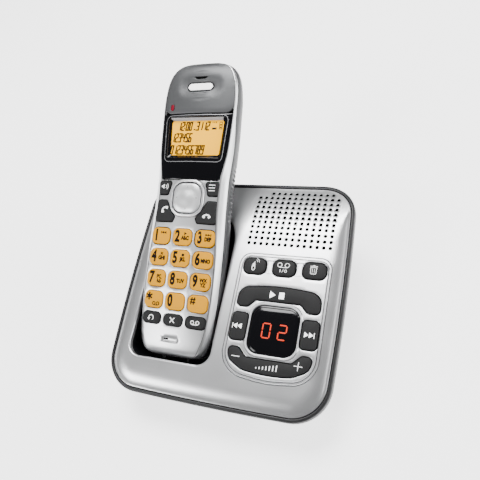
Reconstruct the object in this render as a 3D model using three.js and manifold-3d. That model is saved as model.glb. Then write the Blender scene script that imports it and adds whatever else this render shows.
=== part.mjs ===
import * as THREE from 'three';
import { mergeVertices } from 'three/addons/utils/BufferGeometryUtils.js';
import ManifoldModule from 'manifold-3d';

// Cordless phone: a handset lying in the charging cradle of an answering machine base.
// Millimetres, +Z up. The phone stands on z = 0 with its front towards -Y and its panel towards +X.
// The base top is modelled in its own level frame, whose z = 0 is the foot of the bead, and is tilted whole.
// The handset is modelled with x across it, y along it towards the earpiece and z out of its front face.

// Fits, walls and facets
const gap = 0.3;
const cutOver = 4;
const farReach = 300;
const roundSides = 16;
const arcSteps = 3;
const cornerSteps = 5;
const mergeTolerance = 1e-4;
const pointTolerance = 1e-3;
const degrees = THREE.MathUtils.degToRad;

// Digit keys and the row under them; the handset's origin is in the middle of the digit keys
const keyWidth = 11.2;
const keyDepth = 9;
const keySpaceX = 1.9;
const keySpaceY = 2.5;
const keyPitchX = keyWidth + keySpaceX;
const keyPitchY = keyDepth + keySpaceY;
const keyRound = 3;
const keyProud = 1;
const keyTravel = 0.8;
const keyEdge = 0.45;
const keyFoot = 4;
const keyRows = 4;
const keypadEnd = (keyPitchY * (keyRows - 1) + keyDepth) / 2;
const lowKeySpace = 2.25;
const lowKeyDepth = 6;
const lowKeyY = -keypadEnd - lowKeySpace - lowKeyDepth / 2;

// Navigation pad with its ring, and the four keys round it
const padWidth = 16.4;
const padRound = 5.6;
const padRingWidth = 1.7;
const padRingProud = 0.7;
const padProud = 1.2;
const padSpace = 3.2;
const pivotWidth = 5;
const pivotHeight = 0.9;
const pivotRound = 0.7;
const ringHalf = padWidth / 2 + gap + padRingWidth;
const callKeySpace = 3.45;
const callKeyFoot = keypadEnd + callKeySpace;
const padY = callKeyFoot + ringHalf + padSpace;
const padKeySpace = 1.6;
const callKeyTop = padY - padKeySpace;
const callKeyTopSpace = 1.9;
const callKeyInnerTop = ringHalf + callKeyTopSpace;
const callKeyBendRise = 2.8;
const callKeyBend = padY - ringHalf + callKeyBendRise;
const callKeyBendInset = 1;
const callKeyBendX = ringHalf - callKeyBendInset;
const callKeyTipDrop = 0.4;
const callKeyTip = padY - ringHalf - callKeyTipDrop;
const callKeyTipInset = 4;
const callKeyInner = ringHalf - callKeyTipInset;
const sideKeyInset = 0.6;
const sideKeyOuter = keyPitchX + keyWidth / 2 - sideKeyInset;
const sideKeyFoot = padY + padKeySpace;
const sideKeyFootSpace = 1.8;
const sideKeyInnerFoot = ringHalf + sideKeyFootSpace;
const sideKeyRound = 1.2;

// Lens over the display, and the cap over the earpiece
const lensNotch = 0.2;
const lensFoot = padY + ringHalf - lensNotch;
const lensLength = 37.6;
const lensCorner = 2.2;
const lensThickness = 2.2;
const lensSeat = lensThickness + gap;
const sideKeyDrop = 1;
const sideKeyTop = lensFoot - sideKeyDrop;
const sideKeyInnerTop = ringHalf;
const capFoot = lensFoot + lensLength;
const capLength = 29.8;
const capCorner = 5;
const capThickness = 2;
const capTopShare = 0.9877;
const faceInset = 0.5;
const faceRows = 7;
const lcdSide = 0.6;
const lcdWidth = 2 * (sideKeyOuter - lcdSide);
const lcdFootSpace = 11.3;
const lcdTopSpace = 1.3;
const lcdDepth = lensLength - lcdFootSpace - lcdTopSpace;
const lcdHeight = 3.5;
const lcdY = capFoot - lcdTopSpace - lcdDepth / 2;

// Handset body
const keySide = 4.6;
const footMargin = 16;
const handsetFoot = keypadEnd + lowKeySpace + lowKeyDepth + footMargin;
const handsetLength = handsetFoot + capFoot + capLength;
const handsetWidth = 2 * keyPitchX + keyWidth + 2 * keySide;
const handsetDepth = 21.4;
const handsetLean = 15.38;
const faceRadius = 147;
const handsetWall = 1.9;
const partingDepth = 4.5;
const frontThickness = 3.8;

// Stations along the handset: place as a share of the length, then half width and half width of the front
// face as shares of the half width, then the depth and the drop of the front edge as shares of the depth
const stationShares = [
  [0, 0.56, 0.47, 0.7, 0.14],
  [0.005, 0.69, 0.57, 0.803, 0.075],
  [0.0155, 0.785, 0.652, 0.873, 0.033],
  [0.037, 0.867, 0.712, 0.9135, 0.009],
  [0.074, 0.927, 0.79, 0.9206, 0],
  [0.1358, 0.961, 0.841, 0.9322, 0],
  [0.2222, 0.991, 0.876, 0.9486, 0],
  [0.321, 0.996, 0.863, 0.9673, 0],
  [0.4074, 0.983, 0.815, 0.9836, 0],
  [0.4938, 0.961, 0.777, 1, 0],
  [0.5802, 0.953, 0.773, 0.995, 0],
  [0.6296, 0.966, 0.824, 0.977, 0],
  [0.679, 0.983, 0.88, 0.944, 0],
  [0.7654, 1, 0.91, 0.879, 0],
  [0.8519, 1, 0.923, 0.804, 0],
  [0.9074, 0.97, 0.897, 0.738, 0.005],
  [0.9444, 0.91, 0.833, 0.682, 0.019],
  [0.9691, 0.815, 0.738, 0.626, 0.047],
  [0.9877, 0.661, 0.584, 0.561, 0.089],
  [0.9969, 0.451, 0.386, 0.495, 0.14],
  [1, 0.258, 0.215, 0.449, 0.178],
];
// The side and back of each station: across as a share of its half width, depth as a share of its depth
const sideShares = [
  [1, 0.3],
  [0.985, 0.52],
  [0.9, 0.76],
  [0.7, 0.93],
  [0.36, 1],
];
const crownShare = 0.55;
const bandShare = 0.7;
const bandDepthShare = 0.13;
const innerFirstShare = 0.01;
const innerLastShare = 0.975;

// Earpiece insert and lamp in the cap
const trimRise = 15.1;
const trimY = capFoot + trimRise;
const trimWidth = 15.6;
const trimDepth = 4.8;
const trimLength = 3;
const trimSink = 0.2;
const lampInset = 7.5;
const lampX = -(handsetWidth / 2 - lampInset);
const lampRise = 3.6;
const lampY = capFoot + lampRise;
const lampWidth = 2.4;
const lampDepth = 3.4;
const lampLength = 3;

// Inside the handset
const matOver = 0.4;
const matFootOver = 1.5;
const matFoot = lowKeyY - lowKeyDepth / 2 - matFootOver;
const matTop = sideKeyTop + matOver;
const matWidth = 2 * (sideKeyOuter + matOver);
const matThickness = 1.1;
const matDrop = keyFoot + keyTravel + gap / 2;
const matCorner = 4;
const micX = -0.5;
const micRise = 9;
const micY = -handsetFoot + micRise;
const micRadius = 2;
const micHeight = 1.8;
const micSlotWidth = 4;
const micSlotDepth = 1;
const micSlotRound = 0.35;
const phoneBoardInset = 3.5;
const phoneBoardFoot = micY - phoneBoardInset;
const phoneBoardOver = 0.8;
const phoneBoardTop = capFoot + phoneBoardOver;
const phoneBoardSide = 1.5;
const phoneBoardWidth = matWidth - 2 * phoneBoardSide;
const phoneBoardDrop = matDrop + matThickness + gap;
const phoneBoardThickness = 1.2;
const phoneBoardCorner = 6;
const batteryHeight = 10.3;
const batteryPlay = 0.4;
const batteryWidth = 2 * batteryHeight + batteryPlay;
const batteryLength = 44.5;
const batteryY = 15;
const batteryTop = phoneBoardDrop + phoneBoardThickness + gap;
const earpieceRise = 14.3;
const earpieceY = capFoot + earpieceRise;
const earpieceRadius = 9.5;
const earpieceHeight = 4.5;
const doorSide = 5;
const doorWidth = batteryWidth + 2 * doorSide;
const doorOver = 1.25;
const doorTop = batteryY + batteryLength / 2 + doorOver;
const doorLip = 14;
const contactX = 7.5;
const contactWidth = 3.2;
const contactTop = 7;
const contactHeight = 5;
const contactThickness = 0.7;
const pinRadius = 1.2;
const pinLength = 9;

// Window of the message counter with its ring
const windowWidth = 25;
const windowDepth = 24.4;
const windowRound = 6;
const windowThickness = 1.8;
const windowSink = 0.3;
const windowEdge = 0.3;
const ringWidth = 1.5;
const ringProud = 0.5;
const archClear = 0.6;
const counterInsetX = 2;
const counterInsetY = 3.2;
const counterHeight = 5;

// Sizes of the button panel, and what it rises above its foot
const barEnd = 9.2;
const panelWidth = windowWidth + 2 * barEnd;
const buttonTravel = 0.9;
const buttonProud = 1;
const buttonLength = 7.6;
const buttonEdge = 0.6;
const smallButtonWidth = 12.2;
const smallButtonDepth = 8.9;
const smallButtonRound = 3.4;
const smallButtonOver = 0.4;
const smallButtonPitch = (panelWidth - smallButtonWidth) / 2 + smallButtonOver;
const windowSpace = 9.5;
const windowRise = windowSpace + windowDepth / 2;
const playSpace = 10.3;
const playRise = windowDepth / 2 + playSpace;
const smallButtonRise = 10.2;
const playShoulderDrop = 1.6;
const playEndLength = 6.2;
const playLegDepth = 11.9;
const skipWidth = 8.5;
const skipInset = 5.05;
const skipDepth = windowDepth - 2 * skipInset;
const skipRound = 2.2;
const skipSpace = 5.8;
const skipX = windowWidth / 2 + skipSpace;
const skipShift = 0.2;
const skipRise = windowRise + skipShift;
const volumeDepth = 11.5;
const volumeSideRise = 5;
const volumeShoulderRise = 0.9;
const volumeEndLength = 8.7;
const barRound = 2.2;
const barRoundLarge = 6;

// Speaker grille and the speaker behind it
const grillePitchX = 3.404;
const grillePitchY = 3.25;
const grilleColumns = 14;
const grilleRows = 11;
const grilleCornerColumns = 2;
// The curve of the cover breaks between rows of holes, counted from the middle row
const grilleBreakRows = [-4.5, -1.5, 1.5, 4.5];
const grilleHoleRadius = 0.85;
const grilleHoleSides = 6;
const grilleDepth = (grilleRows - 1) * grillePitchY;
const speakerRadius = 16;
const speakerRimHeight = 1.6;
const speakerConeDepth = 6;
const speakerMagnetRadius = 9;
const speakerMagnetHeight = 5;
const speakerTilt = -10.4;

// Base plan: as wide as the cradle and the panel side by side, as deep as the panel and the grille
const cradleSide = 0.6;
const cradleWidth = handsetWidth + 2 * cradleSide;
const cradleMargin = 10.4;
const panelSpace = 9.04;
const panelMargin = 9.36;
const baseWidth = cradleMargin + cradleWidth + panelSpace + panelWidth + panelMargin;
const cradleX = -baseWidth / 2 + cradleMargin + cradleWidth / 2;
const panelX = baseWidth / 2 - panelMargin - panelWidth / 2;
const frontMargin = 18.9;
const grilleSpace = 8.47;
const backMargin = 6.28;
const panelDepth = windowRise + playRise + smallButtonRise + smallButtonDepth / 2;
const baseDepth = frontMargin + panelDepth + grilleSpace + grilleDepth + backMargin;
const panelFoot = -baseDepth / 2 + frontMargin;
const grilleX = panelX;
const grilleY = baseDepth / 2 - backMargin - grilleDepth / 2;
const windowY = panelFoot + windowRise;
const skipY = panelFoot + skipRise;
const volumeTop = panelFoot + volumeDepth;
const volumeSide = panelFoot + volumeSideRise;
const volumeShoulder = panelFoot + volumeShoulderRise;
const playTop = windowY + playRise;
const playShoulder = playTop - playShoulderDrop;
const playFoot = playTop - playLegDepth;
const smallButtonY = playTop + smallButtonRise;
const baseTilt = 12;
const linerSpace = 2.090;
const baseCorner = 18;
const baseCornerLeast = 4;
const sideBow = 1.8;
const frontBow = 1.1;
const sideSteps = 4;
const beadHeight = 5.4;
const beadWidth = 2;
const beadRound = 0.9;
const beadLip = 0.9;
const baseWall = 2;
const ledgeDrop = 1.5;
const undercutInset = 2.1;
const undercutDrop = ledgeDrop + baseWall;
const undercutSlope = 0.45;

// Cover
const coverHeight = 7.65;
const coverBevelWidth = 10.2;
const coverEdgeHeight = 4.9;
// The bevel from the cover's edge to its level top: shares of its width and of its rise
const bevelShares = [[0, 0], [0.12, 0.36], [0.4, 0.76], [1, 1]];
const rollSpace = 2.68;
const rollStart = grilleY - grilleDepth / 2 + rollSpace;
const rollRadius = 73.7;
const rollEndSpace = 0.28;
const rollEndY = grilleY + grilleDepth / 2 + rollEndSpace;
const backEdgeHeight = 1;
const postRadius = 2.2;

// Base circuit board
const boardThickness = 1.6;
const boardDrop = buttonLength - buttonProud + buttonTravel + gap;
const baseBoardOver = 2.8;
const baseBoardOffset = 0.56;
const baseBoardWidth = panelWidth + 2 * baseBoardOver;
const baseBoardX = panelX + baseBoardOffset;
const baseBoardFrontOver = 5.4;
const baseBoardFront = panelFoot - baseBoardFrontOver;
const baseBoardBackOver = 8.2;
const baseBoardBack = smallButtonY + baseBoardBackOver;
const plateCorner = 2;

// Cradle, and the handset standing in it on its foot
const cradleFrontMargin = 18.1;
const cradleFront = -baseDepth / 2 + cradleFrontMargin;
const cradleLength = 66.4;
const cradleShoulder = cradleFront + cradleLength;
const cradleEndLength = 23;
const cradleCorner = 7.5;
const cradleWall = 1.6;
const cradleTaper = 3.4;
const cradleDepth = 26;
const cradleEndSteps = 8;
const cradleClear = 0.4;
const cradleRimDrop = 1;
const handsetOffset = 0.1;
const handsetX = cradleX + handsetOffset;
const handsetFootSpace = 2.037;
const handsetY = cradleFront + handsetFoot * Math.cos(degrees(handsetLean)) + handsetFootSpace;
const handsetFootRise = 5.29;
const handsetZ = handsetFootRise + handsetFoot * Math.sin(degrees(handsetLean));

// Feet, screws and sockets, in the frame of the table
const footStand = 1.2;
const footSink = 1;
const footRadius = 5;
const footFrontInsetX = 22;
const footFrontX = baseWidth / 2 - footFrontInsetX;
const footFrontInsetY = 24.5;
const footFrontY = -baseDepth / 2 + footFrontInsetY;
const footRearInsetX = 27;
const footRearX = baseWidth / 2 - footRearInsetX;
const footRearInsetY = 17.5;
const footRearY = baseDepth / 2 - footRearInsetY;
const screwLeftX = cradleX;
const screwLeftInset = 11;
const screwLeftY = baseDepth / 2 - screwLeftInset;
const screwRightInsetX = 21.94;
const screwRightX = grilleX - screwRightInsetX;
const screwRightInsetY = 3.97;
const screwRightY = grilleY - screwRightInsetY;
const screwRadius = 1.5;
const screwLength = 16;
const screwHeadRadius = 2.8;
const screwHeadHeight = 2;
const screwHeadSink = 3.4;
const bossRadius = 4.2;
const bossMeet = 13;
const socketZ = 20;
const socketProud = 0.6;
const socketLength = 13;
const powerSocketX = -14;
const powerSocketSize = 11;
const powerBoreRadius = 3;
const powerPinRadius = 0.8;
const powerPinSink = 0.8;
const lineSocketX = 14;
const lineSocketWidth = 14;
const lineSocketHeight = 12;
const lineBoreWidth = 10;
const lineBoreHeight = 7;
const socketBoreDepth = 10;

const wasm = await ManifoldModule();
wasm.setup();

// Outlines

// A closed outline with rounded corners, counterclockwise; each corner is [x, y, radius]
function roundedOutline(corners, sideParts = 1, steps = arcSteps) {
  const count = corners.length;
  const arcs = corners.map(([x, y, radius], i) => {
    const here = new THREE.Vector2(x, y);
    const [beforeX, beforeY] = corners[(i + count - 1) % count];
    const [afterX, afterY] = corners[(i + 1) % count];
    const toBefore = new THREE.Vector2(beforeX, beforeY).sub(here).normalize();
    const toAfter = new THREE.Vector2(afterX, afterY).sub(here).normalize();
    const half = Math.acos(THREE.MathUtils.clamp(toBefore.dot(toAfter), -1, 1)) / 2;
    const reach = radius / Math.tan(half);
    const middle = toBefore.clone().add(toAfter).setLength(radius / Math.sin(half)).add(here);
    const from = toBefore.multiplyScalar(reach).add(here).sub(middle).angle();
    const to = toAfter.multiplyScalar(reach).add(here).sub(middle).angle();
    const sweep = THREE.MathUtils.euclideanModulo(to - from + Math.PI, 2 * Math.PI) - Math.PI;
    return Array.from({ length: steps + 1 }, (_, k) => {
      const turn = from + (sweep * k) / steps;
      return new THREE.Vector2(Math.cos(turn), Math.sin(turn)).multiplyScalar(radius).add(middle);
    });
  });
  return arcs.flatMap((arc, i) => {
    const last = arc[steps];
    const next = arcs[(i + 1) % count][0];
    const between = Array.from({ length: sideParts - 1 }, (_, k) => (
      last.clone().lerp(next, (k + 1) / sideParts)
    ));
    return [...arc, ...between];
  });
}

function roundedRectangle(x, y, width, depth, radius) {
  const halfX = width / 2;
  const halfY = depth / 2;
  return roundedOutline([
    [x + halfX, y - halfY, radius],
    [x + halfX, y + halfY, radius],
    [x - halfX, y + halfY, radius],
    [x - halfX, y - halfY, radius],
  ]);
}

function circleOutline(x, y, radius, sides = roundSides) {
  return Array.from({ length: sides }, (_, k) => {
    const turn = (2 * Math.PI * (k + 0.5)) / sides;
    return new THREE.Vector2(x + radius * Math.cos(turn), y + radius * Math.sin(turn));
  });
}

// An outline moved outwards by a distance, or inwards by a negative one
function grown(outline, distance) {
  const count = outline.length;
  const outward = (a, b) => new THREE.Vector2(b.y - a.y, a.x - b.x).normalize();
  return outline.map((point, i) => {
    const first = outward(outline[(i + count - 1) % count], point);
    const second = outward(point, outline[(i + 1) % count]);
    const reach = distance / (1 + first.dot(second));
    return first.add(second).multiplyScalar(reach).add(point);
  });
}

const moved = (outline, x, y) => outline.map((point) => new THREE.Vector2(point.x + x, point.y + y));
const mirrored = (outline) => outline.map((point) => new THREE.Vector2(-point.x, point.y)).reverse();

// Solids

function asSolid(geometry) {
  const bare = geometry.clone();
  bare.deleteAttribute('normal');
  bare.deleteAttribute('uv');
  const merged = mergeVertices(bare, mergeTolerance);
  return new wasm.Manifold(new wasm.Mesh({
    numProp: 3,
    vertProperties: new Float32Array(merged.attributes.position.array),
    triVerts: new Uint32Array(merged.index.array),
  }));
}

function asGeometry(solid) {
  const mesh = solid.getMesh();
  const geometry = new THREE.BufferGeometry();
  geometry.setAttribute('position', new THREE.BufferAttribute(mesh.vertProperties, 3));
  geometry.setIndex(new THREE.BufferAttribute(mesh.triVerts, 1));
  geometry.computeVertexNormals();
  return geometry;
}

// A closed surface through level outlines with the same number of points, lowest first
function loftGeometry(levels) {
  const count = levels[0].outline.length;
  const positions = levels.flatMap(({ outline, z }) => outline.flatMap((point) => [point.x, point.y, z]));
  const faces = [];
  for (let level = 0; level + 1 < levels.length; level++) {
    for (let i = 0; i < count; i++) {
      const low = level * count + i;
      const lowNext = level * count + ((i + 1) % count);
      faces.push(low, lowNext, lowNext + count, low, lowNext + count, low + count);
    }
  }
  const lid = (outline, start, up) => {
    for (const [a, b, c] of THREE.ShapeUtils.triangulateShape(outline, [])) {
      const area = outline[b].clone().sub(outline[a]).cross(outline[c].clone().sub(outline[a]));
      const order = (area > 0) === up ? [a, b, c] : [a, c, b];
      faces.push(...order.map((index) => start + index));
    }
  };
  lid(levels[0].outline, 0, false);
  lid(levels[levels.length - 1].outline, (levels.length - 1) * count, true);
  const geometry = new THREE.BufferGeometry();
  geometry.setAttribute('position', new THREE.Float32BufferAttribute(positions, 3));
  geometry.setIndex(faces);
  return geometry;
}

const loft = (levels) => asSolid(loftGeometry(levels));
const prism = (outline, low, high) => loft([{ outline, z: low }, { outline, z: high }]);

// A button or key: straight sides and a small slope round its top
function keySolid(outline, low, high, edge) {
  return loft([
    { outline, z: low },
    { outline, z: high - edge },
    { outline: grown(outline, -edge), z: high },
  ]);
}

function lathe(profile, sides = roundSides) {
  const points = profile.map(([r, z]) => new THREE.Vector2(r, z));
  const geometry = new THREE.LatheGeometry(points, sides, Math.PI / sides);
  return geometry.rotateX(Math.PI / 2);
}

const post = (x, y, radius, low, high) => prism(circleOutline(x, y, radius, roundSides / 2), low, high);

function block(lowCorner, highCorner) {
  const low = new THREE.Vector3(...lowCorner);
  const size = new THREE.Vector3(...highCorner).sub(low);
  const middle = size.clone().multiplyScalar(1 / 2).add(low);
  return new THREE.BoxGeometry(size.x, size.y, size.z).translate(middle.x, middle.y, middle.z);
}

const joined = (solids) => solids.reduce((sum, solid) => sum.add(solid));

// Frames: of the handset inside that of the base top, and of the base top inside that of the table
const handsetFrame = new THREE.Matrix4().makeRotationX(degrees(handsetLean));
handsetFrame.setPosition(handsetX, handsetY, handsetZ);

// The handset's back is straight over the battery door; the cradle's floor runs parallel to it
const stationPlace = (share) => share * handsetLength - handsetFoot;
const [straightFoot, straightTop] = [stationShares[3], stationShares[9]].map(([along, , , depth]) => (
  new THREE.Vector3(0, stationPlace(along), -depth * handsetDepth)
));
const backSlope = Math.atan2(straightFoot.z - straightTop.z, straightTop.y - straightFoot.y);
const floorLean = degrees(handsetLean) - backSlope;
const floorPoint = straightTop.clone().applyMatrix4(handsetFrame);

// The base stands so high that the cradle's foot clears its floor
const linerRise = (cradleFront - floorPoint.y) * Math.tan(floorLean) - cradleWall / Math.cos(floorLean);
const tiltSine = Math.sin(degrees(baseTilt));
const tiltCosine = Math.cos(degrees(baseTilt));
const linerFoot = cradleFront * tiltSine + (floorPoint.z + linerRise) * tiltCosine;
const baseHeight = footStand + baseWall + linerSpace - linerFoot;
const baseFrame = new THREE.Matrix4().makeRotationX(degrees(baseTilt)).setPosition(0, 0, baseHeight);
const toBaseFrame = baseFrame.clone().invert();

// Everything in the table's frame that lies under a height, seen from the frame of the base top
const underHeight = (height) => {
  const low = [-farReach, -farReach, height - farReach];
  return asSolid(block(low, [farReach, farReach, height]).applyMatrix4(toBaseFrame));
};

// Base outlines and the curve of the cover

function basePlan(inset, backInset = inset) {
  const halfX = baseWidth / 2 - inset;
  const front = -baseDepth / 2 + inset;
  const back = baseDepth / 2 - backInset;
  const radius = Math.max(baseCorner - inset, baseCornerLeast);
  const corners = [
    [halfX, front, radius],
    [halfX, back, radius],
    [-halfX, back, radius],
    [-halfX, front, radius],
  ];
  return roundedOutline(corners, sideSteps, cornerSteps).map((point) => {
    const acrossShare = THREE.MathUtils.clamp(point.x / halfX, -1, 1);
    const alongShare = THREE.MathUtils.clamp((2 * point.y) / baseDepth, -1, 1);
    point.x += acrossShare * sideBow * (1 - alongShare ** 2);
    point.y -= point.y < 0 ? frontBow * (1 - acrossShare ** 2) : 0;
    return point;
  });
}

const coverTop = (y) => (y > rollStart ? coverHeight - (y - rollStart) ** 2 / (2 * rollRadius) : coverHeight);

// Everything above the cover's curve, which is level in front and rolls off over the grille
function aboveCover(lift) {
  const curve = grilleBreakRows.map((row) => {
    const y = grilleY + row * grillePitchY;
    return new THREE.Vector2(y, coverTop(y) + lift);
  });
  const shape = new THREE.Shape([
    new THREE.Vector2(-farReach, farReach),
    new THREE.Vector2(-farReach, coverHeight + lift),
    new THREE.Vector2(rollStart - grillePitchY, coverHeight + lift),
    ...curve,
    new THREE.Vector2(rollEndY, coverTop(rollEndY) + lift),
    new THREE.Vector2(baseDepth / 2, backEdgeHeight + lift),
    new THREE.Vector2(farReach, backEdgeHeight + lift),
    new THREE.Vector2(farReach, farReach),
  ]);
  const bar = new THREE.ExtrudeGeometry(shape, { depth: 2 * farReach, bevelEnabled: false });
  return asSolid(bar.translate(0, 0, -farReach).rotateY(Math.PI / 2).rotateX(Math.PI / 2));
}

// Cradle: its plan, its sloped floor and the well

const cradleHalf = cradleWidth / 2;
function cradlePlan(inset) {
  const half = cradleHalf - inset;
  const front = cradleFront + inset;
  const length = cradleEndLength - inset;
  const radius = Math.max(cradleCorner - inset, cradleWall);
  const corner = (side) => Array.from({ length: arcSteps + 1 }, (_, k) => {
    const turn = (Math.PI / 2) * (k / arcSteps);
    const across = half - radius + radius * Math.sin(turn);
    return new THREE.Vector2(cradleX + side * across, front + radius - radius * Math.cos(turn));
  });
  const end = Array.from({ length: cradleEndSteps + 1 }, (_, k) => {
    const turn = (Math.PI * k) / cradleEndSteps;
    return new THREE.Vector2(cradleX + half * Math.cos(turn), cradleShoulder + length * Math.sin(turn));
  });
  return [...corner(1), ...end, ...corner(-1).reverse()];
}

// Everything under a plane parallel to the handset's back, at a distance below it
function underFloor(distance) {
  const low = [-farReach, -farReach, -distance - farReach];
  const slab = block(low, [farReach, farReach, -distance]);
  return asSolid(slab.rotateX(floorLean).translate(floorPoint.x, floorPoint.y, floorPoint.z));
}

// Panel outlines, round the middle of the panel

const rowX = [-smallButtonPitch, 0, smallButtonPitch];
const smallButtons = rowX.map((x) => (
  roundedRectangle(panelX + x, smallButtonY, smallButtonWidth, smallButtonDepth, smallButtonRound)
));
const skipButtons = [-skipX, skipX].map((x) => (
  roundedRectangle(panelX + x, skipY, skipWidth, skipDepth, skipRound)
));
const windowPlan = roundedRectangle(panelX, windowY, windowWidth, windowDepth, windowRound);
const ringPlan = grown(windowPlan, gap + ringWidth);
const ringClearX = windowWidth / 2 + gap + ringWidth + archClear - windowRound / 2;
const ringClearY = windowDepth / 2 + gap + ringWidth + archClear;

// The bar over the window, whose underside follows the ring
function playPlan() {
  const half = panelWidth / 2;
  const shoulder = half - playEndLength;
  const notchTop = windowY + ringClearY;
  const legX = ringClearX + (notchTop - playFoot);
  const side = [
    [legX, playFoot, barRound],
    [half, playFoot, barRound],
    [half, playShoulder, barRoundLarge],
    [shoulder, playShoulder + archClear, 0],
  ];
  const ridge = [[0, playTop, 0]];
  const notch = [ringClearX, notchTop, barRound];
  return barOutline(side, ridge, notch);
}

// The bar under the window
function volumePlan() {
  const half = panelWidth / 2;
  const shoulder = half - volumeEndLength;
  const notchFoot = windowY - ringClearY;
  const armX = ringClearX + (volumeTop - notchFoot);
  const side = [
    [shoulder, volumeShoulder, 0],
    [half - barRound / 2, volumeSide, barRoundLarge],
    [half, volumeTop, barRound],
    [armX, volumeTop, barRound],
  ];
  const right = [[0, panelFoot, 0], ...side, [ringClearX, notchFoot, barRound]];
  const left = [...right.slice(1)].reverse().map(([x, y, radius]) => [-x, y, radius]);
  return moved(roundedCorners([...right, ...left]), panelX, 0);
}

function barOutline(side, ridge, notch) {
  const left = [...side].reverse().map(([x, y, radius]) => [-x, y, radius]);
  const [notchX, notchY, notchRound] = notch;
  return moved(roundedCorners([notch, ...side, ...ridge, ...left, [-notchX, notchY, notchRound]]), panelX, 0);
}

// A rounded outline whose corners of radius zero stay single points
function roundedCorners(corners) {
  const outline = roundedOutline(corners.map(([x, y, radius]) => [x, y, Math.max(radius, mergeTolerance)]));
  return outline.filter((point, i) => {
    const before = outline[(i + outline.length - 1) % outline.length];
    return point.distanceTo(before) > pointTolerance;
  });
}

const barPlans = { play: playPlan(), volume: volumePlan() };

// Base pieces

const bossPlaces = [[screwLeftX, screwLeftY], [screwRightX, screwRightY]];
const inTable = (geometry) => geometry.applyMatrix4(toBaseFrame);
const tablePost = (x, y, radius, low, high, sides = roundSides / 2) => (
  asSolid(inTable(loftGeometry([
    { outline: circleOutline(x, y, radius, sides), z: low },
    { outline: circleOutline(x, y, radius, sides), z: high },
  ])))
);
const farDepth = baseHeight + baseDepth / 4;
const backSlopeTan = Math.tan(degrees(baseTilt));
const housingRing = (drop, wall) => ({
  outline: basePlan(
    undercutInset + undercutSlope * (drop - undercutDrop) + wall,
    undercutInset + backSlopeTan * (drop - undercutDrop) + wall,
  ),
  z: -drop,
});
const backWallTop = new THREE.Vector3(0, baseDepth / 2 - undercutInset, -undercutDrop);
const backWallY = backWallTop.applyMatrix4(baseFrame).y;

function socketHoles(margin) {
  const hole = (x, width, height) => asSolid(inTable(block(
    [x - width / 2 - margin, backWallY - socketLength, socketZ - height / 2 - margin],
    [x + width / 2 + margin, backWallY + cutOver, socketZ + height / 2 + margin],
  )));
  return [
    hole(powerSocketX, powerSocketSize, powerSocketSize),
    hole(lineSocketX, lineSocketWidth, lineSocketHeight),
  ];
}

function bottomHousing() {
  const outer = loft([
    housingRing(farDepth, 0),
    housingRing(undercutDrop, 0),
    { outline: basePlan(beadRound / 2), z: 0 },
    { outline: basePlan(0), z: beadRound },
    { outline: basePlan(0), z: beadHeight - 2 * beadRound },
    { outline: basePlan(beadRound / 2), z: beadHeight - beadRound / 2 },
    { outline: basePlan(beadWidth / 2), z: beadHeight },
  ]);
  const well = loft([
    housingRing(farDepth, baseWall),
    housingRing(undercutDrop, baseWall),
    { outline: basePlan(undercutInset + baseWall), z: cutOver },
  ]);
  const seat = prism(basePlan(beadWidth), -ledgeDrop, beadHeight + cutOver);
  const hollow = well.subtract(underHeight(footStand + baseWall)).add(seat);
  const bosses = joined(bossPlaces.map(([x, y]) => tablePost(x, y, bossRadius, footStand, bossMeet)));
  const heads = bossPlaces.map(([x, y]) => (
    tablePost(x, y, screwHeadRadius + gap, -cutOver, footStand + screwHeadSink)
  ));
  const shafts = bossPlaces.map(([x, y]) => tablePost(x, y, screwRadius + gap, 0, bossMeet + cutOver));
  const feet = footPlaces.map(([, x, y]) => (
    tablePost(x, y, footRadius + gap, -cutOver, footStand + footSink, roundSides)
  ));
  return outer
    .subtract(aboveCover(beadLip))
    .subtract(underHeight(footStand))
    .subtract(hollow)
    .add(bosses)
    .subtract(joined([...heads, ...shafts, ...feet, ...socketHoles(gap)]));
}

const footPlaces = [
  ['foot_front_left', -footFrontX, footFrontY],
  ['foot_front_right', footFrontX, footFrontY],
  ['foot_rear_left', -footRearX, footRearY],
  ['foot_rear_right', footRearX, footRearY],
];

// The cover's outside, or its inside when it is sunk by the wall
function coverShape(wall) {
  const edge = beadWidth + gap + wall;
  const rise = coverHeight - coverEdgeHeight;
  const low = gap - ledgeDrop - (wall > 0 ? cutOver : 0);
  const slope = bevelShares.map(([across, up]) => ({
    outline: basePlan(edge + coverBevelWidth * across),
    z: coverEdgeHeight + rise * up - wall,
  }));
  const levels = loft([{ outline: basePlan(edge), z: low }, ...slope]);
  return levels.subtract(aboveCover(-wall));
}

function grilleHoles() {
  const places = [];
  for (let row = 0; row < grilleRows; row++) {
    const skipped = row === grilleRows - 1 ? grilleCornerColumns : 0;
    for (let column = skipped; column < grilleColumns - (skipped ? 1 : 0); column++) {
      places.push([
        grilleX + (column - (grilleColumns - 1) / 2) * grillePitchX,
        grilleY + (row - (grilleRows - 1) / 2) * grillePitchY,
      ]);
    }
  }
  return joined(places.map(([x, y]) => (
    prism(circleOutline(x, y, grilleHoleRadius, grilleHoleSides), -cutOver, coverHeight + cutOver)
  )));
}

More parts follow.
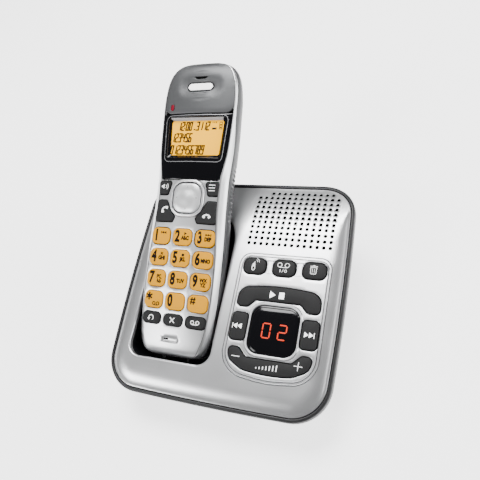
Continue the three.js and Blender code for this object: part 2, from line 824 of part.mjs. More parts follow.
function topCover() {
  const outer = coverShape(0);
  const inner = coverShape(baseWall);
  const boardTop = coverHeight - boardDrop;
  const boardPosts = boardCorners().map(([x, y]) => (
    post(x, y, postRadius, boardTop + gap, coverHeight - baseWall / 2)
  ));
  const screwPosts = bossPlaces.map(([x, y]) => (
    tablePost(x, y, bossRadius, bossMeet + gap, baseHeight + baseDepth).intersect(outer)
  ));
  const screwBores = bossPlaces.map(([x, y]) => (
    tablePost(x, y, screwRadius + gap, 0, footStand + screwHeadSink + screwLength + gap)
  ));
  const ring = prism(ringPlan, coverHeight - baseWall / 2, coverHeight + ringProud);
  const plans = [...smallButtons, ...skipButtons, windowPlan, ...Object.values(barPlans)];
  const holes = plans.map((plan) => prism(grown(plan, gap), -cutOver, coverHeight + cutOver));
  const opening = prism(cradlePlan(0), -cradleDepth, coverHeight + cutOver);
  return outer
    .subtract(inner)
    .add(joined([...boardPosts, ...screwPosts, ring]))
    .subtract(joined([...holes, ...screwBores, opening, grilleHoles()]));
}

function boardCorners() {
  const inset = plateCorner + postRadius;
  const left = baseBoardX - baseBoardWidth / 2 + inset;
  const right = baseBoardX + baseBoardWidth / 2 - inset;
  return [left, right].flatMap((x) => [[x, baseBoardFront + inset / 2], [x, baseBoardBack - inset / 2]]);
}

function cradleLiner() {
  const top = coverHeight - baseWall - cradleRimDrop;
  const low = -cradleDepth;
  const outer = loft([
    { outline: cradlePlan(cradleTaper - cradleWall), z: low },
    { outline: cradlePlan(-cradleWall), z: top - baseWall },
    { outline: cradlePlan(-cradleWall), z: top },
  ]);
  const well = loft([
    { outline: cradlePlan(cradleTaper), z: low - cutOver },
    { outline: cradlePlan(0), z: top - baseWall },
    { outline: cradlePlan(0), z: top + cutOver },
  ]);
  const pins = pinPlaces().map((frame) => (
    asSolid(loftGeometry([
      { outline: circleOutline(0, 0, pinRadius + gap, roundSides / 2), z: 0 },
      { outline: circleOutline(0, 0, pinRadius + gap, roundSides / 2), z: pinLength + cutOver },
    ]).applyMatrix4(frame))
  ));
  return outer
    .subtract(underFloor(cradleClear + cradleWall))
    .subtract(well.subtract(underFloor(cradleClear)))
    .subtract(aboveCover(-baseWall - cradleRimDrop))
    .subtract(joined(pins));
}

// Where the charging pins stand, their z axis running out of the handset's foot
function pinPlaces() {
  return [-contactX, contactX].map((x) => {
    const start = new THREE.Matrix4().makeTranslation(x, -handsetFoot - gap, -contactTop - contactHeight / 2);
    return handsetFrame.clone().multiply(start).multiply(new THREE.Matrix4().makeRotationX(Math.PI / 2));
  });
}

function chargePin() {
  const tip = pinRadius / 2;
  return lathe([[0, 0], [tip, 0], [pinRadius, tip], [pinRadius, pinLength], [0, pinLength]], roundSides / 2);
}

function speakerShape() {
  const cone = speakerRimHeight + speakerConeDepth;
  const back = cone + speakerMagnetHeight;
  const inner = speakerRadius - 2 * speakerRimHeight;
  return lathe([
    [0, -back],
    [speakerMagnetRadius, -back],
    [speakerMagnetRadius, -cone],
    [inner, -speakerRimHeight * 2],
    [speakerRadius, -speakerRimHeight],
    [speakerRadius, 0],
    [speakerRadius - speakerRimHeight, 0],
    [inner, -speakerRimHeight],
    [speakerMagnetRadius / 2, -speakerConeDepth + speakerRimHeight / 2],
    [0, -speakerConeDepth],
  ]);
}

function baseBoard() {
  const middleY = (baseBoardFront + baseBoardBack) / 2;
  const depth = baseBoardBack - baseBoardFront;
  const top = coverHeight - boardDrop;
  const outline = roundedRectangle(baseBoardX, middleY, baseBoardWidth, depth, plateCorner);
  return prism(outline, top - boardThickness, top);
}

function powerSocket() {
  const half = powerSocketSize / 2;
  const mouth = backWallY + socketProud;
  const body = asSolid(block(
    [powerSocketX - half, mouth - socketLength, socketZ - half],
    [powerSocketX + half, mouth, socketZ + half],
  ));
  const along = (radius, depth) => {
    const outline = circleOutline(0, 0, radius, roundSides / 2);
    const bar = loftGeometry([{ outline, z: 0 }, { outline, z: depth + cutOver }]);
    return asSolid(bar.rotateX(-Math.PI / 2).translate(powerSocketX, mouth - depth, socketZ));
  };
  const pastMouth = asSolid(block(
    [powerSocketX - half, mouth - powerPinSink, socketZ - half],
    [powerSocketX + half, mouth + cutOver * 2, socketZ + half],
  ));
  const pin = along(powerPinRadius, socketBoreDepth + powerPinRadius).subtract(pastMouth);
  return body.subtract(along(powerBoreRadius, socketBoreDepth)).add(pin);
}

function lineSocket() {
  const mouth = backWallY + socketProud;
  const box = (width, height, depth, over) => asSolid(block(
    [lineSocketX - width / 2, mouth - depth, socketZ - height / 2],
    [lineSocketX + width / 2, mouth + over, socketZ + height / 2],
  ));
  return box(lineSocketWidth, lineSocketHeight, socketLength, 0)
    .subtract(box(lineBoreWidth, lineBoreHeight, socketBoreDepth, cutOver));
}

function footShape() {
  const top = footStand + footSink - gap;
  const edge = footSink / 2;
  return lathe([[0, 0], [footRadius - edge, 0], [footRadius, edge], [footRadius, top], [0, top]]);
}

function screwShape() {
  const seat = footStand + screwHeadSink - gap;
  const foot = seat - screwHeadHeight;
  const tip = seat + screwLength;
  return lathe([
    [0, foot],
    [screwHeadRadius, foot],
    [screwHeadRadius, seat],
    [screwRadius, seat],
    [screwRadius, tip - screwRadius],
    [0, tip],
  ], roundSides / 2);
}

// Handset body

const halfWidth = handsetWidth / 2;
const frontCrown = (x) => -(x ** 2) / (2 * faceRadius);

// One station's outline: x across, y into the depth, counterclockwise seen from the foot
function stationOutline(width, face, depth, drop) {
  const crown = (x) => drop - frontCrown(x);
  const bandX = face + (width - face) * bandShare;
  const right = [
    [face * crownShare, crown(face * crownShare)],
    [face, crown(face)],
    [bandX, crown(face) + (depth - drop) * bandDepthShare],
    ...sideShares.map(([across, down]) => [across * width, drop + down * (depth - drop)]),
  ];
  const left = [...right].reverse().map(([x, y]) => [-x, y]);
  return [[0, drop], ...right, ...left].map(([x, y]) => new THREE.Vector2(x, y));
}

// Lofts the stations along the handset; the outlines' y becomes depth under the front face
function handsetLoft(levels) {
  return asSolid(loftGeometry(levels).rotateX(-Math.PI / 2));
}

function handsetBody() {
  return handsetLoft(stationShares.map(([along, width, face, depth, drop]) => ({
    outline: stationOutline(width * halfWidth, face * halfWidth, depth * handsetDepth, drop * handsetDepth),
    z: stationPlace(along),
  })));
}

// The hollow: the same stations within the walls, with a level front
function handsetHollow() {
  const inside = stationShares.filter(([along]) => along > innerFirstShare && along < innerLastShare);
  return handsetLoft(inside.map(([along, width, , depth]) => {
    const across = width * halfWidth - handsetWall;
    const back = depth * handsetDepth - handsetWall;
    const side = sideShares.slice(1).map(([x, down]) => [x * across, down * back]);
    const right = [[across, frontThickness], ...side];
    const left = [...right].reverse().map(([x, y]) => [-x, y]);
    return { outline: [...right, ...left].map(([x, y]) => new THREE.Vector2(x, y)), z: stationPlace(along) };
  }));
}

// Half width of the front face at a place along the handset
function faceHalf(y) {
  const share = (y + handsetFoot) / handsetLength;
  const next = stationShares.findIndex(([along]) => along > share);
  const [lowAlong, , lowFace] = stationShares[next - 1];
  const [highAlong, , highFace] = stationShares[next];
  return THREE.MathUtils.mapLinear(share, lowAlong, highAlong, lowFace, highFace) * halfWidth;
}

// The outline of a plate that fills the front face between two places, with two rounded corners at its foot
function facePlate(foot, top, inset, corner) {
  const start = foot + corner + inset;
  const side = Array.from({ length: faceRows + 1 }, (_, k) => {
    const y = start + ((top - start) * k) / faceRows;
    return [faceHalf(y) - inset, y, 0];
  });
  const right = [[faceHalf(foot) - inset, foot, corner], ...side];
  const left = [...right].reverse().map(([x, y, radius]) => [-x, y, radius]);
  return roundedCorners([...right, ...left]);
}

const capPlan = facePlate(capFoot, stationPlace(capTopShare), faceInset, capCorner);
const lensPlan = facePlate(lensFoot, capFoot - gap, faceInset, lensCorner);

const padPlan = roundedRectangle(0, padY, padWidth, padWidth, padRound);
const padRing = grown(padPlan, gap + padRingWidth);

const sideKeyPlan = roundedOutline([
  [sideKeyInnerFoot, sideKeyFoot, sideKeyRound],
  [sideKeyOuter - (sideKeyRound / 2), sideKeyFoot, sideKeyRound],
  [sideKeyOuter, sideKeyTop, sideKeyRound],
  [sideKeyInnerTop, sideKeyTop, sideKeyRound],
]);
const callKeyPlan = roundedOutline([
  [callKeyInner, callKeyTip, sideKeyRound],
  [callKeyInner + sideKeyRound, callKeyFoot, sideKeyRound],
  [sideKeyOuter, callKeyFoot, sideKeyRound],
  [sideKeyOuter - sideKeyRound / 2, callKeyTop, sideKeyRound],
  [callKeyInnerTop, callKeyTop, sideKeyRound],
  [callKeyBendX, callKeyBend, sideKeyRound],
]);

// Digit keys: name, column from the middle and row from the middle
const digitKeys = [
  ['key_1', -1, 1.5], ['key_2', 0, 1.5], ['key_3', 1, 1.5],
  ['key_4', -1, 0.5], ['key_5', 0, 0.5], ['key_6', 1, 0.5],
  ['key_7', -1, -0.5], ['key_8', 0, -0.5], ['key_9', 1, -0.5],
  ['key_star', -1, -1.5], ['key_0', 0, -1.5], ['key_hash', 1, -1.5],
];
const lowKeys = [['redial_key', -1], ['clear_key', 0], ['message_key', 1]];

// Every key of the handset: name, outline, place across and colour
const keys = [
  ...digitKeys.map(([name, column, row]) => {
    const x = column * keyPitchX;
    const plan = roundedRectangle(x, row * keyPitchY, keyWidth, keyDepth, keyRound);
    return [name, plan, x, 'amber'];
  }),
  ...lowKeys.map(([name, column]) => {
    const x = column * keyPitchX;
    const plan = roundedRectangle(x, lowKeyY, keyWidth, lowKeyDepth, lowKeyDepth / 2 - keyEdge);
    return [name, plan, x, 'charcoal'];
  }),
  ['speaker_key', mirrored(sideKeyPlan), -(sideKeyOuter + sideKeyInnerTop) / 2, 'charcoal'],
  ['menu_key', sideKeyPlan, (sideKeyOuter + sideKeyInnerTop) / 2, 'charcoal'],
  ['talk_key', mirrored(callKeyPlan), -(sideKeyOuter + callKeyInner) / 2, 'charcoal'],
  ['end_key', callKeyPlan, (sideKeyOuter + callKeyInner) / 2, 'charcoal'],
];

const trimPlan = roundedRectangle(0, trimY, trimWidth, trimDepth, trimDepth / 2 - mergeTolerance);
const lampPlan = roundedRectangle(lampX, lampY, lampWidth, lampDepth, lampWidth / 2 - mergeTolerance);
const lcdPlan = roundedRectangle(0, lcdY, lcdWidth, lcdDepth, plateCorner);
const micPlan = roundedRectangle(micX, micY, micSlotWidth, micSlotDepth, micSlotRound);
const doorPlan = roundedRectangle(0, (doorTop - handsetFoot - cutOver) / 2, doorWidth,
  doorTop + handsetFoot + cutOver, plateCorner);

const through = (plan, margin) => prism(grown(plan, margin), -partingDepth - cutOver, cutOver);

function frontShell(body, hollow) {
  const front = prism(roundedRectangle(0, 0, farReach, farReach, cutOver), -partingDepth, farReach);
  const ring = prism(padRing, -frontThickness + gap, padRingProud);
  const cuts = [
    prism(grown(capPlan, gap), -capThickness - gap, cutOver),
    prism(grown(lensPlan, gap), -lensSeat, cutOver).subtract(prism(padRing, -partingDepth, cutOver)),
    ...keys.map(([, plan]) => through(plan, gap)),
    through(padPlan, gap),
    through(trimPlan, gap),
    through(lampPlan, gap),
    through(lcdPlan, gap),
    through(micPlan, 0),
  ];
  return body.intersect(front).add(ring).subtract(hollow).subtract(joined(cuts));
}

function doorRegion(margin) {
  return prism(grown(doorPlan, margin), -farReach, -doorLip + margin);
}

function backShell(body, hollow) {
  const back = prism(roundedRectangle(0, 0, farReach, farReach, cutOver), -farReach, -partingDepth - gap);
  const pockets = [-contactX, contactX].map((x) => asSolid(contactBlock(x, gap)));
  return body.intersect(back).subtract(hollow).subtract(doorRegion(gap)).subtract(joined(pockets));
}

// A contact plate in the handset's foot, or its pocket
function contactBlock(x, margin) {
  const half = contactWidth / 2 + margin;
  const front = margin > 0 ? cutOver : 0;
  return block(
    [x - half, -handsetFoot - front, -contactTop - contactHeight - margin],
    [x + half, -handsetFoot + contactThickness + margin, -contactTop + margin],
  );
}

function batteryDoor(body, hollow) {
  return body.intersect(doorRegion(0)).subtract(hollow);
}

function headCap(body) {
  return body
    .intersect(prism(capPlan, -capThickness, cutOver))
    .subtract(through(trimPlan, gap))
    .subtract(through(lampPlan, gap));
}

function displayLens(body) {
  return body
    .intersect(prism(lensPlan, -lensThickness, cutOver))
    .subtract(prism(grown(padRing, gap), -partingDepth, cutOver));
}

function batteryPack() {
  const cell = batteryHeight / 2;
  const across = batteryWidth / 2 - cell;
  const outline = roundedOutline([
    [across + cell, batteryTop, cell - mergeTolerance],
    [across + cell, batteryTop + batteryHeight, cell - mergeTolerance],
    [-across - cell, batteryTop + batteryHeight, cell - mergeTolerance],
    [-across - cell, batteryTop, cell - mergeTolerance],
  ]);
  const start = batteryY - batteryLength / 2;
  return loftGeometry([{ outline, z: start }, { outline, z: start + batteryLength }]).rotateX(-Math.PI / 2);
}

function plate(foot, top, width, corner, drop, thickness) {
  const outline = roundedRectangle(0, (foot + top) / 2, width, top - foot, corner);
  return prism(outline, -drop - thickness, -drop);
}

// Materials

const finishes = {
  silver: { color: 0xc4c5c8, roughness: 0.35, metalness: 0.6 },
  charcoal: { color: 0x36363a, roughness: 0.5, metalness: 0 },
  black: { color: 0x0b0b0c, roughness: 0.35, metalness: 0 },
  gloss: { color: 0x050506, roughness: 0.08, metalness: 0 },
  grey: { color: 0x6e6f72, roughness: 0.4, metalness: 0.3 },
  amber: { color: 0xe5ac52, roughness: 0.4, metalness: 0 },
  white: { color: 0xf2f2f2, roughness: 0.25, metalness: 0 },
  red: { color: 0xa01822, roughness: 0.2, metalness: 0 },
  screen: { color: 0xf6c673, roughness: 0.3, metalness: 0 },
  rubber: { color: 0x1c1c1d, roughness: 0.9, metalness: 0 },
  board: { color: 0x1d5a38, roughness: 0.6, metalness: 0 },
  steel: { color: 0xb9bbbe, roughness: 0.3, metalness: 1 },
  gold: { color: 0xc9a24a, roughness: 0.3, metalness: 1 },
  cell: { color: 0x2f6f9e, roughness: 0.4, metalness: 0 },
};

function piece(name, shape, finish) {
  const geometry = shape.isBufferGeometry ? shape : asGeometry(shape);
  const mesh = new THREE.Mesh(geometry, new THREE.MeshStandardMaterial(finishes[finish]));
  mesh.name = name;
  return mesh;
}

// Assembly

const phone = new THREE.Group();
const baseTop = new THREE.Group();
baseTop.position.z = baseHeight;
baseTop.rotation.x = degrees(baseTilt);
const handset = new THREE.Group();
handset.position.set(handsetX, handsetY, handsetZ);
handset.rotation.x = degrees(handsetLean);
baseTop.add(handset);
phone.add(baseTop);

function addBase() {
  const top = coverHeight + buttonProud;
  const foot = top - buttonLength;
  const button = (name, plan) => piece(name, keySolid(plan, foot, top, buttonEdge), 'charcoal');
  const [find, answer, remove] = smallButtons;
  const [back, forward] = skipButtons;
  baseTop.add(
    piece('base_bottom_housing', bottomHousing(), 'charcoal'),
    piece('base_top_cover', topCover(), 'silver'),
    piece('cradle_liner', cradleLiner(), 'black'),
    piece('base_circuit_board', baseBoard(), 'board'),
    button('find_handset_button', find),
    button('answer_on_off_button', answer),
    button('delete_button', remove),
    button('play_stop_button', barPlans.play),
    button('skip_back_button', back),
    button('skip_forward_button', forward),
    button('volume_rocker', barPlans.volume),
  );
  const windowTop = coverHeight + ringProud - windowSink;
  const windowFoot = windowTop - windowThickness;
  const counterWidth = windowWidth - 2 * counterInsetX;
  const counterDepth = windowDepth - 2 * counterInsetY;
  const counter = roundedRectangle(panelX, windowY, counterWidth, counterDepth, plateCorner);
  baseTop.add(
    piece('display_window', keySolid(windowPlan, windowFoot, windowTop, windowEdge), 'gloss'),
    piece('led_display_module', prism(counter, windowFoot - gap - counterHeight, windowFoot - gap), 'black'),
  );
  const speaker = piece('base_speaker', speakerShape(), 'black');
  const speakerSag = speakerRadius ** 2 / (2 * rollRadius);
  speaker.position.set(grilleX, grilleY, coverTop(grilleY) - baseWall - speakerSag - 2 * gap);
  speaker.rotation.x = degrees(speakerTilt);
  baseTop.add(speaker);
  pinPlaces().forEach((frame, i) => {
    const pin = piece(i ? 'base_charge_contact_right' : 'base_charge_contact_left', chargePin(), 'gold');
    pin.applyMatrix4(frame);
    baseTop.add(pin);
  });
}

function addTablePieces() {
  for (const [name, x, y] of footPlaces) {
    const foot = piece(name, footShape(), 'rubber');
    foot.position.set(x, y, 0);
    phone.add(foot);
  }
  bossPlaces.forEach(([x, y], i) => {
    const screw = piece(i ? 'base_screw_right' : 'base_screw_left', screwShape(), 'steel');
    screw.position.set(x, y, 0);
    phone.add(screw);
  });
  phone.add(piece('power_socket', powerSocket(), 'black'), piece('line_socket', lineSocket(), 'black'));
}

function addHandset() {
  const body = handsetBody();
  const hollow = handsetHollow();
  handset.add(
    piece('handset_front_shell', frontShell(body, hollow), 'silver'),
    piece('handset_back_shell', backShell(body, hollow), 'grey'),
    piece('battery_door', batteryDoor(body, hollow), 'grey'),
    piece('head_cap', headCap(body), 'grey'),
    piece('display_lens', displayLens(body), 'gloss'),
  );
  for (const [name, plan, x, finish] of keys) {
    handset.add(piece(name, keySolid(plan, -keyFoot, frontCrown(x) + keyProud, keyEdge), finish));
  }
  const padFoot = -frontThickness + pivotHeight;
  const pivotPlan = roundedRectangle(0, padY, pivotWidth, pivotWidth, pivotRound);
  handset.add(
    piece('navigation_pad', keySolid(padPlan, padFoot, padProud, keyEdge), 'silver'),
    piece('navigation_pivot', prism(pivotPlan, -matDrop + gap, padFoot - gap), 'rubber'),
    piece('earpiece_trim', prism(trimPlan, -trimSink - trimLength, -trimSink), 'white'),
    piece('message_lamp', prism(lampPlan, frontCrown(lampX) - lampLength, frontCrown(lampX) + gap), 'red'),
    piece('lcd_module', prism(lcdPlan, -lensSeat - lcdHeight, -lensSeat), 'screen'),
  );
  const earpiece = circleOutline(0, earpieceY, earpieceRadius);
  const earpieceTop = -frontThickness - gap;
  const microphone = circleOutline(micX, micY, micRadius, roundSides / 2);
  handset.add(
    piece('keypad_mat', plate(matFoot, matTop, matWidth, matCorner, matDrop, matThickness), 'rubber'),
    piece('handset_circuit_board', plate(phoneBoardFoot, phoneBoardTop, phoneBoardWidth, phoneBoardCorner,
      phoneBoardDrop, phoneBoardThickness), 'board'),
    piece('earpiece_speaker', prism(earpiece, earpieceTop - earpieceHeight, earpieceTop), 'black'),
    piece('microphone', prism(microphone, earpieceTop - micHeight, earpieceTop), 'steel'),
    piece('battery_pack', batteryPack(), 'cell'),
    piece('handset_charge_contact_left', contactBlock(-contactX, 0), 'gold'),
    piece('handset_charge_contact_right', contactBlock(contactX, 0), 'gold'),
  );
}

addBase();
addTablePieces();
addHandset();

// The origin lies under the middle of the whole phone, on the table
const extent = new THREE.Box3().setFromObject(phone, true);
phone.position.y = -(extent.min.y + extent.max.y) / 2;

export default phone;
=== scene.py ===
import math
from collections import namedtuple

import bmesh
import bpy
import numpy as np
from mathutils import Euler, Matrix, Vector
from mathutils.geometry import delaunay_2d_cdt


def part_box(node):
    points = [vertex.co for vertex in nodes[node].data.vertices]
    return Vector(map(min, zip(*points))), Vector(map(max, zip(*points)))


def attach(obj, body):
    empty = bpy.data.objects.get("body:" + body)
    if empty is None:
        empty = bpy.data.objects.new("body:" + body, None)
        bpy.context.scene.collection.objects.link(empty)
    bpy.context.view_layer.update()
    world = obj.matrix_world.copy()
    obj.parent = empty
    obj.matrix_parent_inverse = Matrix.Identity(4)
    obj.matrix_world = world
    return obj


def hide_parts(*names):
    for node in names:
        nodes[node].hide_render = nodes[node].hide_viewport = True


# Cordless phone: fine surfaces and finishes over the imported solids.
# Lengths here are millimetres in three frames: that of the table, that of the base top, tilted on it, and
# that of the handset, with x across, y along it to the earpiece and z out of its front face.

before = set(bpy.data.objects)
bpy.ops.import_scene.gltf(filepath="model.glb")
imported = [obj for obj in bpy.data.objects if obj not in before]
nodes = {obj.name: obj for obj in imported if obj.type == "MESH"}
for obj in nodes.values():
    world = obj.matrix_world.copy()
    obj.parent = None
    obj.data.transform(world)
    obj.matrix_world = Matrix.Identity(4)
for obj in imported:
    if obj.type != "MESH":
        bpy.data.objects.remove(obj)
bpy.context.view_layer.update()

# Sizes repeated from the solids
BASE_TILT, BASE_HEIGHT = 12.0, 31.0
BASE_W, BASE_D = 120.0, 124.99
BASE_CORNER, SIDE_BOW, FRONT_BOW = 18.0, 1.79, 1.0
COVER_INSET, COVER_Z, COVER_EDGE_Z, BEVEL = 2.3, 7.65, 4.9, 10.2
ROLL_START, ROLL_R = 26.4, 87.5
PANEL_X, PANEL_FOOT, WINDOW_Y = 28.94, -43.6, -21.9
CRADLE_X, CRADLE_HALF, CRADLE_FRONT, CRADLE_BEND, CRADLE_END = -25.7, 23.9, -44.4, 22.0, 23.0
CRADLE_CORNER = 7.5
FEET = {"front_left": (-38, -38), "front_right": (38, -38), "rear_left": (-33, 45), "rear_right": (33, 45)}
SCREWS = {"left": (-25.7, 51.5), "right": (7.0, 36.0)}
SOCKETS = {"power": (-14, 11, 11), "line": (14, 14, 12)}
SOCKET_Z, SOCKET_DEEP = 20, 13
PINS = {"left": -7.5, "right": 7.5}
HAND_L, HAND_W, HAND_D = 162.0, 46.6, 21.4
HAND_FOOT, FACE_R = 46.0, 147.0
HAND_LEAN, HAND_PLACE = 15.38, (-25.6, 1.99, 17.49)
GAP = 0.3


def turned(angle):
    return Matrix.Rotation(math.radians(angle), 4, "X")


def table_shift():
    """The table frame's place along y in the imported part, found from a front foot."""
    low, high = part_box("foot_front_left")
    return (low.y + high.y) * 500 - FEET["front_left"][1]


TABLE = Matrix.Scale(0.001, 4) @ Matrix.Translation((0, table_shift(), 0))
SLAB = TABLE @ Matrix.Translation((0, 0, BASE_HEIGHT)) @ turned(BASE_TILT)
HAND = SLAB @ Matrix.Translation(HAND_PLACE) @ turned(HAND_LEAN)

# Camera, placed over the base's top
CAMERA_PLACE = (101.556, -65.355, 244.804)
CAMERA_ANGLES = (23.5368, 18.4899, 11.9415)
CAMERA_LENS, SENSOR = 37.51, 36.0


def new_object(name, data):
    obj = bpy.data.objects.new(name, data)
    bpy.context.scene.collection.objects.link(obj)
    return obj


def place_camera():
    data = bpy.data.cameras.new("camera")
    data.sensor_width, data.lens = SENSOR, CAMERA_LENS
    data.clip_start, data.clip_end = 0.01, 50.0
    camera = new_object("camera", data)
    turn = turned(BASE_TILT) @ Euler([math.radians(a) for a in CAMERA_ANGLES]).to_matrix().to_4x4()
    camera.matrix_world = Matrix.Translation(SLAB @ Vector(CAMERA_PLACE)) @ turn
    bpy.context.scene.camera = camera


# Outlines: arrays of points, counterclockwise

def unit(vector):
    return vector / np.linalg.norm(vector)


def polar(x, y, radius, turn):
    return np.column_stack([x + radius * np.cos(turn), y + radius * np.sin(turn)])


def rounded(corners, steps=8, parts=1):
    """A closed outline through corners (x, y, radius), its straight sides cut into parts."""
    arcs = []
    for k, (x, y, radius) in enumerate(corners):
        here = np.array([x, y], float)
        if radius <= 0:
            arcs.append(here[None])
            continue
        before = unit(np.array(corners[k - 1][:2]) - here)
        after = unit(np.array(corners[(k + 1) % len(corners)][:2]) - here)
        half = math.acos(np.clip(before @ after, -1, 1)) / 2
        middle = here + unit(before + after) * radius / math.sin(half)
        first, last = (here + way * radius / math.tan(half) - middle for way in (before, after))
        start = math.atan2(first[1], first[0])
        sweep = (math.atan2(last[1], last[0]) - start + math.pi) % (2 * math.pi) - math.pi
        arcs.append(polar(*middle, radius, start + sweep * np.arange(steps + 1) / steps))
    points = []
    for arc, following in zip(arcs, arcs[1:] + arcs[:1]):
        points.extend(arc)
        points.extend(arc[-1] + (following[0] - arc[-1]) * k / parts for k in range(1, parts))
    return np.array(points)


def mirrored(corners):
    return [(-x, y, radius) for x, y, radius in reversed(corners)]


def flipped(outline):
    return (outline * (-1, 1))[::-1]


def rectangle(x, y, width, depth, radius, steps=8, parts=1):
    right = [(width / 2, -depth / 2, radius), (width / 2, depth / 2, radius)]
    return rounded(right + mirrored(right), steps, parts) + (x, y)


def circle(x, y, radius, sides=32):
    return polar(x, y, radius, np.arange(sides) * 2 * math.pi / sides)


def signed_area(outline):
    x, y = outline.T
    return (x * np.roll(y, -1) - np.roll(x, -1) * y).sum() / 2


def grown(outline, distance):
    """The closed outline with its sides moved outward."""
    step = np.roll(outline, -1, 0) - outline
    after = np.column_stack([step[:, 1], -step[:, 0]])
    after /= np.linalg.norm(after, axis=1, keepdims=True) + 1e-12
    before = np.roll(after, 1, 0)
    reach = distance / np.maximum(1 + (before * after).sum(1), 0.35)
    return outline + (before + after) * reach[:, None]


def dense(outline, step=0.9):
    """The same closed outline with points no further apart than a step."""
    points = []
    for a, b in zip(outline, np.roll(outline, -1, 0)):
        parts = max(1, math.ceil(float(np.linalg.norm(b - a)) / step))
        points.extend(a + (b - a) * k / parts for k in range(parts))
    return np.array(points)


def by_parts(points, measure, size=2000):
    """A measure of many points, worked out for a part of them at a time."""
    return np.concatenate([measure(points[k:k + size]) for k in range(0, len(points), size)])


def distance_to(points, outline):
    """Distance of each point from a closed outline."""
    step = np.roll(outline, -1, 0) - outline
    length = (step ** 2).sum(1) + 1e-12

    def nearest(part):
        offset = outline - part[:, None]
        share = np.clip(-(offset * step).sum(2) / length, 0, 1)
        return np.sqrt(((offset + share[:, :, None] * step) ** 2).sum(2)).min(1)

    return by_parts(points, nearest)


def inside(points, outline):
    result = np.zeros(len(points), bool)
    near = np.where(((points >= outline.min(0)) & (points <= outline.max(0))).all(1))[0]
    px, py = points[near, 0, None], points[near, 1, None]
    ax, ay = outline.T
    bx, by = np.roll(ax, -1), np.roll(ay, -1)
    at = ax + (py - ay) * (bx - ax) / np.where(by == ay, 1e-12, by - ay)
    result[near] = (((ay > py) != (by > py)) & (px < at)).sum(1) % 2 == 1
    return result


def depth_in(points, outline):
    """How far each point lies inside a closed outline, negative outside."""
    distance = distance_to(points, outline)
    return np.where(inside(points, outline), distance, -distance)


def smooth_step(value):
    t = np.clip(value, 0, 1)
    return t * t * (3 - 2 * t)


def lifted(outline, z):
    """An outline's points at one height, or at a height each."""
    return np.column_stack([outline, np.broadcast_to(z, len(outline))])


def standing(outline, y, rise=0.0):
    """An outline set upright across the y axis."""
    return np.column_stack([outline[:, 0], np.full(len(outline), y), outline[:, 1] + rise])


def level(z):
    """A height field that is flat."""
    return lambda points: np.full(len(points), float(z))


# Meshes: a shape is a list of points and a list of faces

def mesh_of(shape, place, weld=0.0):
    """A mesh with its faces turned outward, from a shape in millimetres of a frame."""
    verts, faces = shape
    world = np.asarray(verts, float) @ np.array(place.to_3x3()).T + np.array(place.translation)
    mesh = bpy.data.meshes.new("piece")
    mesh.from_pydata(world.tolist(), [], [list(map(int, face)) for face in faces])
    mesh.validate()
    work = bmesh.new()
    work.from_mesh(mesh)
    if weld > 0:
        bmesh.ops.remove_doubles(work, verts=work.verts, dist=weld * 0.001)
    bmesh.ops.recalc_face_normals(work, faces=work.faces)
    work.to_mesh(mesh)
    work.free()
    return mesh


def dress(name, mesh, finish, body, replaced=None, angle=35):
    """A piece on its body: its finish, its sharp edges and the solid that it stands for."""
    mesh.name = name
    mesh.materials.clear()
    mesh.materials.append(finish.material)
    mesh.shade_smooth()
    if angle is not None:
        mesh.set_sharp_from_angle(angle=math.radians(angle))
    obj = new_object(name, mesh)
    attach(obj, body)
    if replaced:
        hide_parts(replaced)


def add(name, shape, place, finish, body, replaced=None, angle=35, weld=0.0):
    dress(name, mesh_of(shape, place, weld), finish, body, replaced, angle)


def carved(mesh, cutters, operation="DIFFERENCE"):
    """The mesh after an exact cut by the cutters' meshes."""
    target = new_object("target", mesh)
    tools = [new_object("cutter", cutter) for cutter in cutters]
    for tool in tools:
        modifier = target.modifiers.new("cut", "BOOLEAN")
        modifier.operation, modifier.solver, modifier.object = operation, "EXACT", tool
    bpy.context.view_layer.update()
    graph = bpy.context.evaluated_depsgraph_get()
    result = bpy.data.meshes.new_from_object(target.evaluated_get(graph))
    for obj in [target, *tools]:
        bpy.data.objects.remove(obj)
    return result


def loops_of(triangles):
    """The boundary loops of a net of triangles."""
    edges = dict.fromkeys(edge for a, b, c in triangles for edge in ((a, b), (b, c), (c, a)))
    following = {a: b for a, b in edges if (b, a) not in edges}
    loops = []
    while following:
        start, here = next(iter(following.items()))
        loop = [start]
        del following[start]
        while here != start and here in following:
            loop.append(here)
            here = following.pop(here)
        loops.append(np.array(loop))
    return loops


def lattice(outline, spacing):
    """Points over an outline's box in shifted rows."""
    low, high = outline.min(0), outline.max(0)
    rows = []
    for k, y in enumerate(np.arange(low[1], high[1] + spacing, spacing * 0.87)):
        x = np.arange(low[0] + (k % 2) * spacing / 2, high[0], spacing)
        rows.append(np.column_stack([x, np.full(len(x), y)]))
    return np.concatenate(rows)


